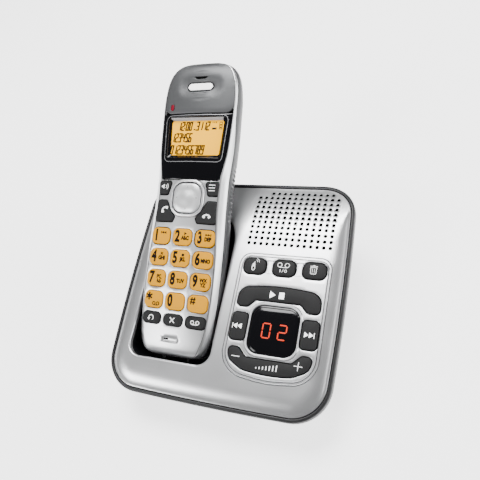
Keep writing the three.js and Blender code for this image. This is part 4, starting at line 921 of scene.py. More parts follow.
def play_mark():
    return [arrow(27.2, 24.2, -3.95, 1.85), across(30.45, -4.0, 1.35, 3.3)]


def skip_mark(way):
    """Two arrows against a bar, to the right or to the left."""
    arrows = [arrow(tip * way, (tip - 2.1) * way, 0, 1.35) for tip in (-0.1, 2.3)]
    return [*arrows, upright(2.7 * way, 0, 1.35, 0.3)]


def volume_mark():
    """Minus, plus and seven rising bars, about the panel's middle."""
    minus_x, minus_y, plus_x, plus_y = -16.64, -36.9, 15.36, -37.2
    reach, gap, foot = 2.1, 0.17, -41.3
    shapes = [across(minus_x, minus_y, reach, 0.34), across(plus_x, plus_y, reach, 0.32)]
    shapes += [bar(plus_x, plus_y + side * reach, plus_x, plus_y + side * gap, 0.32) for side in (-1, 1)]
    rising = [((k - 3) * 1.7, foot, (k - 3) * 1.7, foot + 0.7 + 0.38 * k, 0.55) for k in range(7)]
    return shapes + [bar(*ends) for ends in rising]


def base_buttons():
    """Three small buttons, two for skipping, the arch and the volume bar, all with their signs."""
    top, low, fillet = 8.65, 1.05, 0.7
    small = dict(zip(("find_handset_button", "answer_on_off_button", "delete_button"), SMALL))
    large = {"skip_back_button": SKIP[0], "skip_forward_button": SKIP[1], "play_stop_button": PLAY,
             "volume_rocker": VOLUME}
    heights = {}
    for outlines, crown, inset in ((small, 0.35, 0.22), (large, 0.3, 0.12)):
        for body, outline in outlines.items():
            heights[body] = key_piece(body, body, outline, low, top, SLAB, BUTTON, crown, fillet, inset)
    # Painted glow: the play and skip marks glow brightly, the other signs faintly.
    for name, shapes, x, y, finish, body in (
        ("find_handset_mark", find_mark(), PANEL_X - 16.3, 11.2, GLOWING_SIGN, "find_handset_button"),
        ("answer_mark", answer_mark(), PANEL_X - 0.3, 12.3, GLOWING_SIGN, "answer_on_off_button"),
        ("delete_mark", bin_mark(), PANEL_X + 15.6, 11.4, GLOWING_SIGN, "delete_button"),
        ("play_mark", play_mark(), 0, 0, GLOWING_MARK, "play_stop_button"),
        ("skip_back_mark", skip_mark(-1), PANEL_X - 18.7, -21.8, GLOWING_MARK, "skip_back_button"),
        ("skip_forward_mark", skip_mark(1), PANEL_X + 18.1, -21.8, GLOWING_MARK, "skip_forward_button"),
        ("volume_mark", volume_mark(), PANEL_X, 0, GLOWING_SIGN, "volume_rocker"),
    ):
        marks(name, moved(shapes, x, y), heights[body], SLAB, finish, body)


def display_window():
    """The counter's gloss window, raised a little inside its edge, with two digits."""
    top, digit_y = 7.85, -22.3

    def height(points):
        return top - 0.3 * (1 - smooth_step((distance_to(points, WINDOW) - 0.6) / 0.8))

    lines = [grown(WINDOW, -d) for d in (0.6, 0.8, 1.0, 1.2, 1.4)]
    glass = plate(WINDOW, [], height, level(top - 1.8), 0.25, lines=lines, spacing=1.6, steps=5)
    add("counter_window", glass, SLAB, GLOSS, "base", "display_window", 50)
    digits = led_digit("0", 25.4, digit_y) + led_digit("2", 33.7, digit_y)
    marks("counter_digits", digits, height, SLAB, LED, "base", 0.02)


def feet_and_screws():
    """Turned rubber feet, and screws with a crossed slot."""
    foot = [(0.4, 0.35), (3, 0.3), (3.4, 0.02), (3.7, 0), (4.4, 0), (4.75, 0.1), (4.95, 0.32), (5, 0.6),
            (5, 1.9), (0.4, 1.9)]
    for name, (x, y) in FEET.items():
        add(f"rubber_foot_{name}", lathe(foot, 48, x, y), TABLE, RUBBER, "base", f"foot_{name}", 40)
    screw = [(0.3, 2.35), (2, 2.35), (2.6, 2.5), (2.8, 2.8), (2.8, 4.3), (1.5, 4.3), (1.5, 18.8), (0.3, 20.3)]
    slot_long, slot_wide = 3.2, 0.7
    for side, (x, y) in SCREWS.items():
        slots = [rectangle(x, y, *size, 0.1, 2) for size in ((slot_long, slot_wide), (slot_wide, slot_long))]
        cuts = [mesh_of(prism(slot, 1.0, 3.2), TABLE) for slot in slots]
        mesh = carved(mesh_of(lathe(screw, 32, x, y), TABLE), cuts)
        dress(f"housing_screw_{side}", mesh, STEEL, "base", f"base_screw_{side}", 35)


def sockets():
    """The power and line sockets behind, with the pin of one and the wires of the other."""
    mouth = BACK_Y + 0.6
    power_x, line_x = SOCKETS["power"][0], SOCKETS["line"][0]
    right = [(2.2, 16.5, 0.2), (2.2, 17.9, 0.2), (5, 17.9, 0.2), (5, 23.5, 0.3)]
    keyed = rounded(right + mirrored(right), 3) + (line_x, 0)
    holes = {"power": circle(power_x, SOCKET_Z, 3.0, 40), "line": keyed}
    for name, (x, width, height) in SOCKETS.items():
        outline = rectangle(x, SOCKET_Z, width, height, 0.6, 5)
        block = [standing(grown(outline, -inset), mouth - back)
                 for inset, back in ((0.0, SOCKET_DEEP), (0.0, 0.4), (0.12, 0.12), (0.4, 0.0))]
        cut = loft([standing(holes[name], mouth - 10), standing(holes[name], mouth + 2)])
        mesh = carved(mesh_of(loft(block), TABLE), [mesh_of(cut, TABLE)])
        dress(f"{name}_socket_body", mesh, SOCKET_BLACK, "base", f"{name}_socket", 35)
    pin = TABLE @ Matrix.Translation((power_x, mouth - 0.8, SOCKET_Z)) @ turned(90)
    profile = [(0.25, 0.0), (0.62, 0.05), (0.8, 0.3), (0.8, 9.4)]
    add("power_socket_pin", lathe(profile, 20), pin, STEEL, "base", angle=40)
    path = [(9.9, 0.0), (6.5, 0.0), (3.0, -1.4), (2.4, -1.3), (1.2, 0.2)]
    for k in range(4):
        wire = rectangle(line_x + (k - 1.5) * 1.25, 22.95, 0.45, 0.35, 0.1, 2)
        rings = [standing(wire, mouth - back, rise) for back, rise in path]
        add(f"line_socket_wire_{k + 1}", loft(rings), TABLE, GOLD, "base", angle=40)


# Handset: its stations are place along it, half width, half width of the face, depth and drop of the face

STATIONS = np.array([
    [0, 0.56, 0.47, 0.7, 0.14],
    [0.005, 0.69, 0.57, 0.803, 0.075],
    [0.0155, 0.785, 0.652, 0.873, 0.033],
    [0.037, 0.867, 0.712, 0.9135, 0.009],
    [0.074, 0.927, 0.79, 0.9206, 0],
    [0.1358, 0.961, 0.841, 0.9322, 0],
    [0.2222, 0.991, 0.876, 0.9486, 0],
    [0.321, 0.996, 0.863, 0.9673, 0],
    [0.4074, 0.983, 0.815, 0.9836, 0],
    [0.4938, 0.961, 0.777, 1, 0],
    [0.5802, 0.953, 0.773, 0.995, 0],
    [0.6296, 0.966, 0.824, 0.977, 0],
    [0.679, 0.983, 0.88, 0.944, 0],
    [0.7654, 1, 0.91, 0.879, 0],
    [0.8519, 1, 0.923, 0.804, 0],
    [0.9074, 0.97, 0.897, 0.738, 0.005],
    [0.9444, 0.91, 0.833, 0.682, 0.019],
    [0.9691, 0.815, 0.738, 0.626, 0.047],
    [0.9877, 0.661, 0.584, 0.561, 0.089],
    [0.9969, 0.451, 0.386, 0.495, 0.14],
    [1, 0.258, 0.215, 0.449, 0.178],
])
LIP, LENS_FOOT, LENS_CORNER = 0.4, 48.6, 2.3
FACE_END = LENS_FOOT - GAP + LENS_CORNER
RIB_LOW, RIB_HIGH, RIB_PITCH, RIB_DEEP = 25.5, 60.5, 2.5, 0.55
HOLLOW_LOW, HOLLOW_HIGH, BACK_THICK = 1.7 - HAND_FOOT, HAND_L - HAND_FOOT - 4.2, 1.9
DOOR_LOW, DOOR_HIGH, DOOR_WIDE = -50.0, 38.5, 31.0
PART_FACE, PART_HEAD = 4.5, 2.7
KEY_COLUMNS, KEY_ROWS, KEY_SIZE = 13.1, 11.5, (11.2, 9, 3)
DARK_Y, DARK_SIZE = -27, (11.2, 6, 2.55)


def spline(x, xs, ys):
    """A smooth curve through a table, without overshoot."""
    h = np.diff(xs)
    slope = np.diff(ys) / h
    tangent = np.zeros(len(xs))
    for i in range(1, len(xs) - 1):
        if slope[i - 1] * slope[i] > 0:
            w1, w2 = 2 * h[i] + h[i - 1], h[i] + 2 * h[i - 1]
            tangent[i] = (w1 + w2) / (w1 / slope[i - 1] + w2 / slope[i])
    tangent[0], tangent[-1] = slope[0], slope[-1]
    k = np.clip(np.searchsorted(xs, x, "right") - 1, 0, len(xs) - 2)
    t = (x - xs[k]) / h[k]
    return ((1 + 2 * t) * (1 - t) ** 2 * ys[k] + t * (1 - t) ** 2 * h[k] * tangent[k]
            + t * t * (3 - 2 * t) * ys[k + 1] + t * t * (t - 1) * h[k] * tangent[k + 1])


def station(y):
    """Half width, half width of the face, depth and drop of the face at places along the handset."""
    share = np.clip((np.asarray(y, float) + HAND_FOOT) / HAND_L, 0, 1)
    scales = (HAND_W / 2, HAND_W / 2, HAND_D, HAND_D)
    return [spline(share, STATIONS[:, 0], STATIONS[:, k + 1]) * scale for k, scale in enumerate(scales)]


def face_half(y):
    return station(y)[1]


def places_along(longest=1.6, least=4):
    shares = []
    for a, b in zip(STATIONS[:-1, 0], STATIONS[1:, 0]):
        parts = max(least, math.ceil((b - a) * HAND_L / longest))
        shares.extend(a + (b - a) * k / parts for k in range(parts))
    return np.array(shares + [0.9998]) * HAND_L - HAND_FOOT


def face_drop(points):
    """Height of the handset's gently domed face."""
    return -station(points[:, 1])[3] - points[:, 0] ** 2 / (2 * FACE_R)


def section(y, per=10):
    """The right side's curve from the edge of the face round to the middle of the back: x and depth."""
    width, face, depth, drop = (float(v) for v in station(y))
    crown = drop + face ** 2 / (2 * FACE_R)
    table = [(face, crown), (face + (width - face) * 0.7, crown + (depth - drop) * 0.13)]
    table += [(a * width, drop + d * (depth - drop)) for a, d in
              ((1, 0.3), (0.985, 0.52), (0.9, 0.76), (0.7, 0.93), (0.36, 1.0), (0, 1.0))]
    table = np.array(table)
    pad = np.concatenate([[2 * table[0] - table[1]], table, [table[-2] * (-1, 1)]])
    out = []
    for p0, p1, p2, p3 in zip(pad, pad[1:], pad[2:], pad[3:]):
        out += [0.5 * (2 * p1 + (p2 - p0) * t + (2 * p0 - 5 * p1 + 4 * p2 - p3) * t ** 2
                       + (3 * p1 - p0 - 3 * p2 + p3) * t ** 3) for t in np.arange(per) / per]
    return np.minimum([*out, table[-1]], (width, depth - 0.04))


def parting(y):
    """Depth of the line between front and back: closer to the face at the head."""
    drop = float(station(y)[3])
    return PART_FACE + (max(PART_HEAD, drop + 1.4) - PART_FACE) * float(smooth_step((y - 62) / 30))


def cut_curve(curve, depth, below):
    """The part of a section curve above or below a depth, with the crossing point."""
    over = curve[:, 1] >= depth
    first = int(np.argmax(over)) if over.any() else len(curve) - 1
    crossing = curve[first]
    if first > 0:
        a, b = curve[first - 1:first + 1]
        crossing = a + (b - a) * (depth - a[1]) / max(b[1] - a[1], 1e-9)
    return np.array([crossing, *curve[first:]] if below else [*curve[:first], crossing])


def resample(curve, count):
    steps = np.concatenate([[0], np.cumsum(np.linalg.norm(np.diff(curve, axis=0), axis=1))])
    if steps[-1] < 1e-6:
        return np.repeat(curve[:1], count, 0)
    at = np.linspace(0, steps[-1], count)
    return np.column_stack([np.interp(at, steps, curve[:, k]) for k in (0, 1)])


DIGITS = {f"key_{sign}": (k % 3 - 1, 1.5 - k // 3)
          for k, sign in enumerate(["1", "2", "3", "4", "5", "6", "7", "8", "9", "star", "0", "hash"])}
DARK_KEYS = {"redial_key": -1, "clear_key": 0, "message_key": 1}
SIDE_KEY = rounded([(12, 40.2, 1.2), (17.5, 40.2, 1.2), (18.1, 47.6, 1.2), (10.2, 47.6, 1.2)], 6)
CALL_KEY = rounded([(6.2, 28, 1.2), (7.4, 25.2, 1.2), (18.1, 25.2, 1.2), (17.5, 37, 1.2), (12.1, 37, 1.2),
                    (9.2, 31.2, 1.2)], 6)
PAD = rectangle(0, 38.6, 16.4, 16.4, 5.6, 12, 2)
PAD_RING = grown(PAD, 2.0)
MIC = dense(rectangle(-0.5, -37.3, 9.4, 2.6, 1.29), 0.7)


def all_keys():
    keys = {name: rectangle(c * KEY_COLUMNS, r * KEY_ROWS, *KEY_SIZE) for name, (c, r) in DIGITS.items()}
    keys.update({name: rectangle(c * KEY_COLUMNS, DARK_Y, *DARK_SIZE) for name, c in DARK_KEYS.items()})
    keys.update(speaker_key=flipped(SIDE_KEY), menu_key=SIDE_KEY)
    keys.update(talk_key=flipped(CALL_KEY), end_key=CALL_KEY)
    return keys


# Handset: its shells

def front_height(points):
    return face_drop(points) - 0.3 * smooth_step((depth_in(points, MIC) + 0.1) / 0.3)


def face_net(along):
    """The keypad's face up to the display, with walls in its openings."""
    shown = along[along < FACE_END]
    corner_x = float(face_half(FACE_END)) - 0.2 - LENS_CORNER
    corner = polar(corner_x, FACE_END, LENS_CORNER, -np.linspace(0, math.pi / 2, 7))
    right = np.concatenate([np.column_stack([face_half(shown) - LIP, shown]), corner])
    rows = []
    for k, y in enumerate(np.arange(-45, 50, 1.9)):
        x = np.arange(-20 + (k % 2), 20.5, 2.0)
        rows.append(np.column_stack([x, np.full(len(x), y)]))
    holes = [grown(grown(outline, 0.22), 0.3) for outline in all_keys().values()] + [grown(PAD_RING, 0.2)]
    lines = [grown(MIC, d) for d in (0.1, -0.05, -0.2)]
    outer = np.concatenate([right, flipped(right)])
    net = triangulate(outer, holes, lines, 1.0, np.concatenate(rows), 0.55)

    def rim(loop, _):
        return None if signed_area(loop) > 0 else (0.3, -3.5, 4)

    return walled(*net, front_height(net[0]), rim)


def band_section(y):
    """The bright band's section: from the face's edge over a small fillet to the parting line, and a lip."""
    upper = cut_curve(section(y), parting(y), False)
    _, face, _, drop = (float(v) for v in station(y))
    edge = face - LIP
    start = np.array([edge, drop + edge ** 2 / (2 * FACE_R)])
    path = resample(upper, 12)
    path[0] = (start + path[1] + 2 * upper[0]) / 4
    low = (max(path[-1][0] - 1.6, 0.1), parting(y))
    return np.array([(edge, max(start[1] + 0.3, 2.6)), start, *path, low])


def handset_front():
    """The silver front: the keypad's face and, on both sides, the bright band down to the parting line."""
    along = places_along()
    verts, faces, _ = face_net(along)
    bands = np.array([band_section(y) for y in along])
    count, last = bands.shape[1], (len(along) - 1) * bands.shape[1]
    starts = []
    for side in (1, -1):
        start = len(verts)
        starts.append(start)
        ys = np.repeat(along[:, None], count, 1)
        verts.extend(np.stack([bands[:, :, 0] * side, ys, -bands[:, :, 1]], 2).reshape(-1, 3))
        for i in range(len(along) - 1):
            # The band's inner lip is there only beside the openings for the plates
            for j in range(1 if along[i + 1] < FACE_END else 0, count - 1):
                a = start + i * count + j
                faces.append([a, a + 1, a + count + 1, a + count])
    for row, y, band in ((0, along[0], bands[0]), (last, along[-1], bands[-1])):
        right, left = starts[0] + row, starts[1] + row
        xs = np.linspace(band[1][0], -band[1][0], 9)[1:-1]
        middle = np.column_stack([xs, np.full(len(xs), y)])
        between = range(len(verts), len(verts) + len(xs))
        verts.extend(lifted(middle, face_drop(middle)))
        faces.append([*range(right + count - 2, right, -1), *between, *range(left + 1, left + count - 1)])
    add("handset_front", (verts, faces), HAND, SHELL_SILVER, "handset", "handset_front_shell", 55, weld=0.02)


def front_marks():
    """Painted shade: a dark line along the seam round the keypad's face, a grey ring at the edge of the
    microphone's dip and a black bar for the microphone's slot.
    """
    ys = np.concatenate([[-45.75, -45.5, -45.2, -44.8, -44.3], np.arange(-43.5, 48, 1.0)])
    edge = face_half(ys) - LIP
    outer = np.column_stack([edge, ys])
    inner = np.column_stack([edge - 0.25, np.maximum(ys, -45.5)])
    seam = np.concatenate([flipped(outer), outer, inner[::-1], flipped(inner)[::-1]])
    marks("face_seam_shade", [seam], face_drop, HAND, SEAM_SHADE, "handset")
    marks("microphone_rim_shade", [(grown(MIC, 0.1), [grown(MIC, -0.1)])], front_height, HAND, LINE_GREY, "handset")
    marks("microphone_slot_shade", [across(-3.0, -37.1, 1.3, 0.9)], front_height, HAND, MIC_SLOT_SHADE, "handset")


def back_ring(y, ribs):
    """The back shell's closed section: outside from right to left, then inside."""
    top = parting(y) + GAP
    wall = resample(cut_curve(section(y), top, True), 44)
    outer = wall.copy()
    if ribs and RIB_LOW < y < RIB_HIGH:
        fade = min(1.0, (y - RIB_LOW) / 3, (RIB_HIGH - y) / 3)
        wave = 0.5 + 0.5 * math.cos((y - RIB_LOW) / RIB_PITCH * 2 * math.pi)
        share = outer[:, 1] / station(y)[2]
        grip = smooth_step((share - 0.34) / 0.08) * smooth_step((0.80 - share) / 0.10)
        outer[:, 0] -= RIB_DEEP * fade * wave * grip
    if HOLLOW_LOW < y < HOLLOW_HIGH:
        step = np.gradient(wall, axis=0)
        way = np.column_stack([-step[:, 1], step[:, 0]])
        inner = wall + way / (np.linalg.norm(way, axis=1, keepdims=True) + 1e-9) * BACK_THICK
        inner[0] = (wall[0][0] - BACK_THICK, top)
        inner = np.maximum(inner, (0, top))
        inner[-1][0] = 0.0
    else:
        inner = np.column_stack([np.linspace(wall[0][0] * 0.9, 0, len(wall)), np.full(len(wall), top)])
    loop = np.concatenate([outer, flipped(outer)[1:], inner[:-1] * (-1, 1), inner[::-1]])
    return standing(loop * (1, -1), y)


def handset_back():
    """The grey back with grip ribs on its sides, and the battery door cut from the same wall."""
    along = places_along(1.8, 3)
    along = along[(along < RIB_LOW) | (along > RIB_HIGH)]
    along = np.sort(np.concatenate([along, np.arange(RIB_LOW, RIB_HIGH + 0.1, RIB_PITCH / 8)]))
    along = along[np.concatenate([[True], np.diff(along) > 0.02])]
    ends = [edge + side for edge in (HOLLOW_LOW, HOLLOW_HIGH) for side in (-0.005, 0.005)]
    along = np.sort(np.concatenate([along, ends]))
    shell, door = (mesh_of(loft([back_ring(y, ribs) for y in places]), HAND)
                   for places, ribs in ((along, True), (along[along < 45], False)))
    plan = rectangle(0, (DOOR_LOW + DOOR_HIGH) / 2, DOOR_WIDE, DOOR_HIGH - DOOR_LOW, 2)
    below, floor = -60, -14.0
    shell = carved(shell, [mesh_of(prism(grown(plan, GAP), below, floor + GAP), HAND)])
    dress("handset_back", shell, BACK_GREY, "handset", "handset_back_shell", 55)
    door = carved(door, [mesh_of(prism(plan, below, floor), HAND)], "INTERSECT")
    grooves = [prism(rectangle(0, y, 13 - abs(y - 25) * 0.5, 0.9, 0.4, 4), below, 0.45 - float(station(y)[2]))
               for y in np.arange(18.4, 32, 2.2)]
    door = carved(door, [mesh_of(groove, HAND) for groove in grooves])
    dress("battery_cover", door, BACK_GREY, "battery_door", "battery_door", 32)


# Handset: its plates

def front_plate_outline(foot, top, corner, inset=0.5):
    start = foot + corner + inset
    ys = start + (top - start) * np.sin(np.linspace(0, math.pi / 2, 36))
    foot_x = float(face_half(foot + corner / 2)) - inset
    arc = polar(foot_x - corner, foot + corner, corner, np.linspace(-math.pi / 2, 0, 9)[:-1])
    right = np.concatenate([arc, np.column_stack([face_half(ys) - inset, ys])])
    return np.concatenate([right, flipped(right)])


CAP_TOP = 0.9965 * HAND_L - HAND_FOOT
TRIM = rectangle(0, 101.3, 15.6, 4.8, 2.39, 12)
LAMP_PLAN = rectangle(-16.1, 89.8, 1.9, 3.4, 0.94)


def head_cap():
    """The grey plate with its hollow, and the insert, slot and lamp in it."""
    outer = front_plate_outline(86.2, CAP_TOP, 5.0)
    hollow = rectangle(0, 102.0, 30, 15.5, 7.6, 14)
    slit = rounded([(-5.4, 107.3, 0.3), (-2.8, 105.9, 0.9), (2.0, 105.9, 0.9), (4.4, 107.3, 0.3)], 5)

    def height(points):
        z = face_drop(points) - 0.75 * smooth_step(depth_in(points, hollow) / 6.5)
        return z - 0.25 * (1 - np.clip(distance_to(points, outer) / 1.5, 0, 1)) ** 2

    def under(points):
        return np.minimum(-2.0, face_drop(points) - 1.7)

    def trim_height(points):
        return -0.55 - 0.2 * (points[:, 0] / 8) ** 2

    def lamp_height(points):
        return face_drop(points) + 0.2 * np.sqrt(np.clip(distance_to(points, LAMP_PLAN) / 1.2, 0, 1))

    holes = [grown(TRIM, GAP), grown(LAMP_PLAN, 0.2), slit]
    lines = [grown(hollow, -d) for d in (0.0, 1.6, 3.2, 4.8)]
    cap = plate(outer, holes, height, under, 0.3, 0.25, lines, 1.6)
    add("earpiece_cap", cap, HAND, GREY, "handset", "head_cap", 40)
    # Painted glow: the white insert glows, though it is no lamp.
    insert = plate(grown(TRIM, -0.55), [], trim_height, level(-3.2), spacing=1.5)
    add("earpiece_insert", insert, HAND, GLOWING_WHITE, "handset", "earpiece_trim", 45)
    ring = [grown(TRIM, -0.6)]
    surround = plate(grown(TRIM, 0.5), ring, lambda p: height(p) + 0.15, level(-2.0), 0.25, 0.25)
    add("earpiece_surround", surround, HAND, BLACK, "handset", angle=45)
    lamp = plate(LAMP_PLAN, [], lamp_height, level(-3.8), 0.2, spacing=0.5)
    add("call_lamp", lamp, HAND, LAMP, "handset", "message_lamp", 50)
    # Felt and painted shade: a near-black sheet under the earpiece's slit, so it reads as shade.
    felt_and_shade = plate(grown(slit, 0.2), [], level(-2.1), level(-3.3), 0.1, spacing=1.0)
    add("earpiece_slot_felt_and_shade", felt_and_shade, HAND, FELT_AND_SHADE, "handset", angle=50)


WINDOW_LOW, WINDOW_TALL, SCREEN_SHARE = 61.2, 22.8, 0.93


def display():
    """The gloss plate with its sunk window, sloping walls and screen."""
    outer = front_plate_outline(LENS_FOOT, 85.9, 2.2)
    frame_right = [(17.3, 58.8, 3.0), (18.9, 85.0, 3.4)]
    frame_line = dense(rounded(frame_right + mirrored(frame_right), 10), 1.2)
    right = [(15.9, WINDOW_LOW, 1.2), (17.2, WINDOW_LOW + WINDOW_TALL, 1.8)]
    opening = dense(rounded(right + mirrored(right)))
    rim = grown(opening, 0.02)

    def height(points):
        return face_drop(points) - 0.2 * (1 - np.clip(distance_to(points, outer) / 1.2, 0, 1)) ** 2

    def shrunk(low, tall):
        """The window's outline, narrower and between other ends, for what lies at its floor."""
        return (rim - (0, WINDOW_LOW)) * (SCREEN_SHARE, tall / WINDOW_TALL) + (0, low)

    frame_out, frame_in = grown(frame_line, 0.2), grown(frame_line, -0.2)
    lines = [grown(opening, 0.7), frame_in, frame_out]
    bezel = plate(outer, [opening], height, level(-2.2), lines=lines, spacing=1.6)
    add("display_bezel", bezel, HAND, GLOSS, "handset", "display_lens", 40)
    marks("display_frame_line", [(frame_out, [frame_in])], height, HAND, LINE_GREY, "handset", 0.1)
    glass, floor, edge = shrunk(62.9, 19.7), -2.6, grown(rim, 0.3)
    top = face_drop(rim)
    wall = [(rim, top - 0.5), (rim, top - 0.62), (glass, floor + 0.25), (glass, floor), (edge, floor),
            (edge, top - 0.62), (rim, top - 0.5)]
    add("display_wall", loft([lifted(*ring) for ring in wall], False), HAND, GLOSS, "handset", weld=0.001)
    # Painted light: a lighter grey sheet on the window's top wall only, for light falling on it; the other
    # walls stay gloss black.
    sheet = np.array([(-15.9, 83.75, -0.66), (15.9, 83.75, -0.66), (15.3, 82.5, -2.3), (-15.3, 82.5, -2.3)])
    add("display_wall_top", loft([sheet + (0, -d, d) for d in (0.1, 0.02)]), HAND, LIT_WALL_GREY, "handset")
    screen_z = -2.64
    body = plate(grown(shrunk(62.0, 21.2), 0.9), [], level(screen_z - 0.02), level(-5.9), 0.1, spacing=4.0)
    add("screen_body", body, HAND, MODULE, "handset", "lcd_module", 45)
    screen = level(screen_z)
    marks("screen", [grown(glass, -0.02)], screen, HAND, SCREEN, "handset", 0.02)
    marks("screen_marks", screen_shapes(), screen, HAND, SEGMENT, "handset", 0.06)


def screen_shapes():
    """Two rows of digits under a clock, a date, signal bars and a battery."""
    clock_y = 79.4
    shapes = lcd_row("0123456789", -14.3, 66.0, 4.7) + lcd_row("123456", -14.2, 72.9, 4.6)
    for digits, x in (("12", -11.0), ("00", -6.2), ("3112", 0.3)):
        shapes += lcd_row(digits, x, clock_y, 4.4)
    shapes += [circle(-7.6, 80.3, 0.4, 8), circle(-7.9, 78.3, 0.4, 8), across(-1.7, 77.5, 0.6, 0.7)]
    shapes += [across(9.2 + k, 81.4, 0.2, 0.9) for k in range(3)] + [across(10.3, 77.9, 1.4, 1.1)]
    cell_x = 14.1
    battery = rectangle(cell_x, 79.5, 1.9, 4.2, 0.4, 3)
    return shapes + [(battery, [grown(battery, -0.35)]), *(across(cell_x, y, 0.5, 0.7) for y in (78.5, 79.9))]


# Handset: its keys

# Small signs for the message functions
SIGNS = {
    "key_1": [upright(-1.8, 0, 0.65, 0.45), arrow(-1.6, -0.2, 0, 0.75), arrow(-0.2, 1.2, 0, 0.75)],
    "key_2": [arrow(0.9, -0.6, 0, 0.85)],
    "key_3": [arrow(-0.1, -1.5, 0, 0.75), arrow(1.3, -0.1, 0, 0.75), upright(1.6, 0, 0.65, 0.45)],
    "key_4": cross(0.65, 0.18, 0.5),
    "key_5": [across(0, 0, 0.7, 1.4)],
    "key_star": moved(tape(1.15, 0.8, 0.5, 0.95, 0.45, 16), -0.2, -4.0),
}
WORDS = dict(key_2="ABC", key_3="DEF", key_4="GHI", key_5="JKL", key_6="MNO", key_7="PQRS", key_8="TUV",
             key_9="WXYZ")
SIGN_X, LETTER_X = -2.6, 2.1


def speaker_mark():
    cone = np.array([(-1.8, -0.5), (-1.1, -0.5), (-0.1, -1.4), (-0.1, 1.4), (-1.1, 0.5), (-1.8, 0.5)])
    return [cone, *(arc_mark(-0.2, 0, radius, 0.3, -42, 42, 8) for radius in (1.3, 2.3))]


def redo_mark():
    return [arc_mark(0, 0, 1.35, 0.42, -60, 200), np.array([(-2.15, -0.25), (-1.35, -1.5), (-0.45, -0.35)])]


def receiver_mark(turn):
    """A plain receiver: a bow with two ends."""
    shapes = [arc_mark(0, 0, 2.3, 0.8, turn - 48, turn + 48, 12)]
    for side in (-1, 1):
        a = math.radians(turn + side * 55)
        along = np.array([math.cos(a), math.sin(a)])
        wide = np.array([-along[1], along[0]]) * 0.55
        corners = [along * 2.75 - wide, along * 2.75 + wide, along * 1.25 + wide, along * 1.25 - wide]
        shapes.append(rounded([(*corner, 0.2) for corner in corners], 3))
    return shapes


def digit_marks(name):
    """A key's digit or sign on the left, its letters in one or two rows on the right, and its small sign."""
    if name == "key_star":
        shapes = moved([asterisk(2.1, 0.85)], SIGN_X, 1.5)
    elif name == "key_hash":
        shapes = [bar(-3.6 + k, -0.4, -3.1 + k, 3.4, 0.72) for k in (0, 1.5)]
        shapes += [across(SIGN_X, rise, 1.6, 0.68) for rise in (0.8, 2.25)]
    else:
        shapes = letters(name[-1], SIGN_X, 0.1, 8.5, 0.68, 0.36)
    word = WORDS.get(name, "")
    if len(word) == 3:
        shapes += letters(word, LETTER_X, -0.5, 2.8, 0.8, 0.19)
    elif word:
        for part, rise in ((word[:2], 0.9), (word[2:], -1.5)):
            shapes += letters(part, LETTER_X, rise, 2.7, 0.85, 0.17)
    return shapes + moved(SIGNS.get(name, []), 2.0, 1.9)


def handset_keys():
    """The amber keys with their digits and letters, and the dark keys with their signs."""
    low, rise, fillet, inset, spacing = -4.0, 1.0, 0.5, 0.03, 1.0
    heights = {}
    for name, outline in all_keys().items():
        top = rise - float(outline[:, 0].mean()) ** 2 / (2 * FACE_R)
        finish, crown = (AMBER, 0.28) if name in DIGITS else (BUTTON, 0.2)
        heights[name] = key_piece(name, name, outline, low, top, HAND, finish, crown, fillet, inset, spacing)
    for name, (column, row) in DIGITS.items():
        shapes = moved(digit_marks(name), column * KEY_COLUMNS, row * KEY_ROWS)
        marks(f"{name}_mark", shapes, heights[name], HAND, INK, name)
    # Painted glow: the signs on the dark keys glow faintly, though they are print.
    for name, shapes, x, y in (
        ("redial_key", redo_mark(), -KEY_COLUMNS, DARK_Y),
        ("clear_key", cross(1.3, 0.25, 0.5), 0, DARK_Y),
        ("message_key", tape(1.5, 0.9, 0.38, 1.08, 0.38), KEY_COLUMNS, DARK_Y + 0.2),
        ("menu_key", [across(0, rise, 1.8, 0.34) for rise in (-1.5, 0.0, 1.5)], 14.2, 44.5),
        ("speaker_key", speaker_mark(), -14.4, 44.6),
        ("talk_key", receiver_mark(135), -11.7, 30.9),
        ("end_key", receiver_mark(90), 13.0, 27.6),
    ):
        marks(f"{name}_mark", moved(shapes, x, y), heights[name], HAND, GLOWING_SIGN, name)


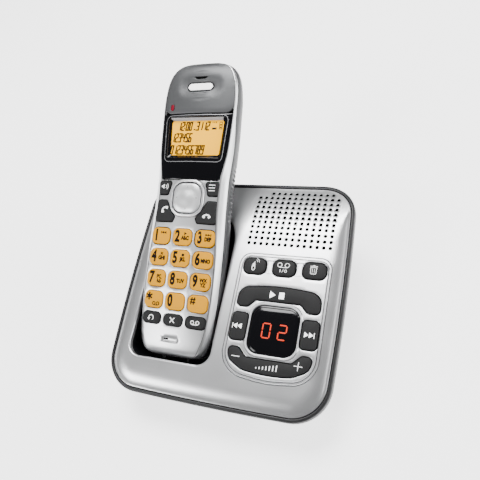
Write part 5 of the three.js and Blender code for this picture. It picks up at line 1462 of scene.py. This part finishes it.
def pad_and_ring():
    """The rocking pad with its four small arrows, in a bright ring."""
    ring = plate(PAD_RING, [grown(PAD, 0.65)], lambda p: face_drop(p) + 0.95, level(-3.5), 0.75, 0.3, steps=6)
    add("navigation_ring", ring, HAND, RIM_SILVER, "handset", angle=60)
    height = key_piece("navigation_key", "navigation_pad", PAD, -2.9, 1.2, HAND, PEARL, 0.5, 0.8, spacing=1.0,
                       dish=0.75)
    shapes = [arrow(side * 6.6, side * 5.5, 38.6, 0.7) for side in (-1, 1)]
    shapes += [arrow(45.2, 44.1, 0, 0.7, up=True), arrow(32.0, 33.1, 0, 0.7, up=True)]
    marks("navigation_marks", shapes, height, HAND, FAINT, "navigation_pad", 0.02)


# Floor and light

def area_light(name, place, target, size, power):
    data = bpy.data.lights.new(name, "AREA")
    data.shape, data.energy = "RECTANGLE", power
    data.size, data.size_y = size
    way = Vector(target) - Vector(place)
    light = new_object(name, data)
    light.matrix_world = Matrix.Translation(place) @ way.to_track_quat("-Z", "Y").to_matrix().to_4x4()


def stage():
    """A pale floor, a dim white world and three soft lights."""
    reach = 4
    corners = [(-reach, -reach, 0), (reach, -reach, 0), (reach, reach, 0), (-reach, reach, 0)]
    mesh = bpy.data.meshes.new("floor")
    mesh.from_pydata(corners, [], [(0, 1, 2, 3)])
    pale = surface("pale_floor", None, (0.90, 0.90, 0.90), 0.6, spot=0.005, spot_scale=5, glow=(1, 1, 1),
                   strength=2.2)
    mesh.materials.append(pale.material)
    new_object("floor", mesh)
    world = bpy.data.worlds.new("studio")
    bpy.context.scene.world = world
    world.use_nodes = True
    background = world.node_tree.nodes["Background"]
    background.inputs["Color"].default_value = (1, 1, 1, 1)
    background.inputs["Strength"].default_value = 0.18
    area_light("over", (-0.14, 0.32, 0.9), (0, 0, 0.03), (0.5, 0.42), 14.0)
    area_light("left", (-0.75, -0.72, 0.8), (0, 0, 0.03), (0.5, 0.5), 10.0)
    area_light("right", (0.9, 0.15, 0.35), (0, 0, 0.05), (0.9, 0.4), 10.0)


for build in (
    place_camera, finish_solids, base_cover, base_housing, cradle_liner, base_buttons, display_window,
    feet_and_screws, sockets, front_marks, handset_front, handset_back, head_cap, display, handset_keys,
    pad_and_ring, stage,
):
    build()
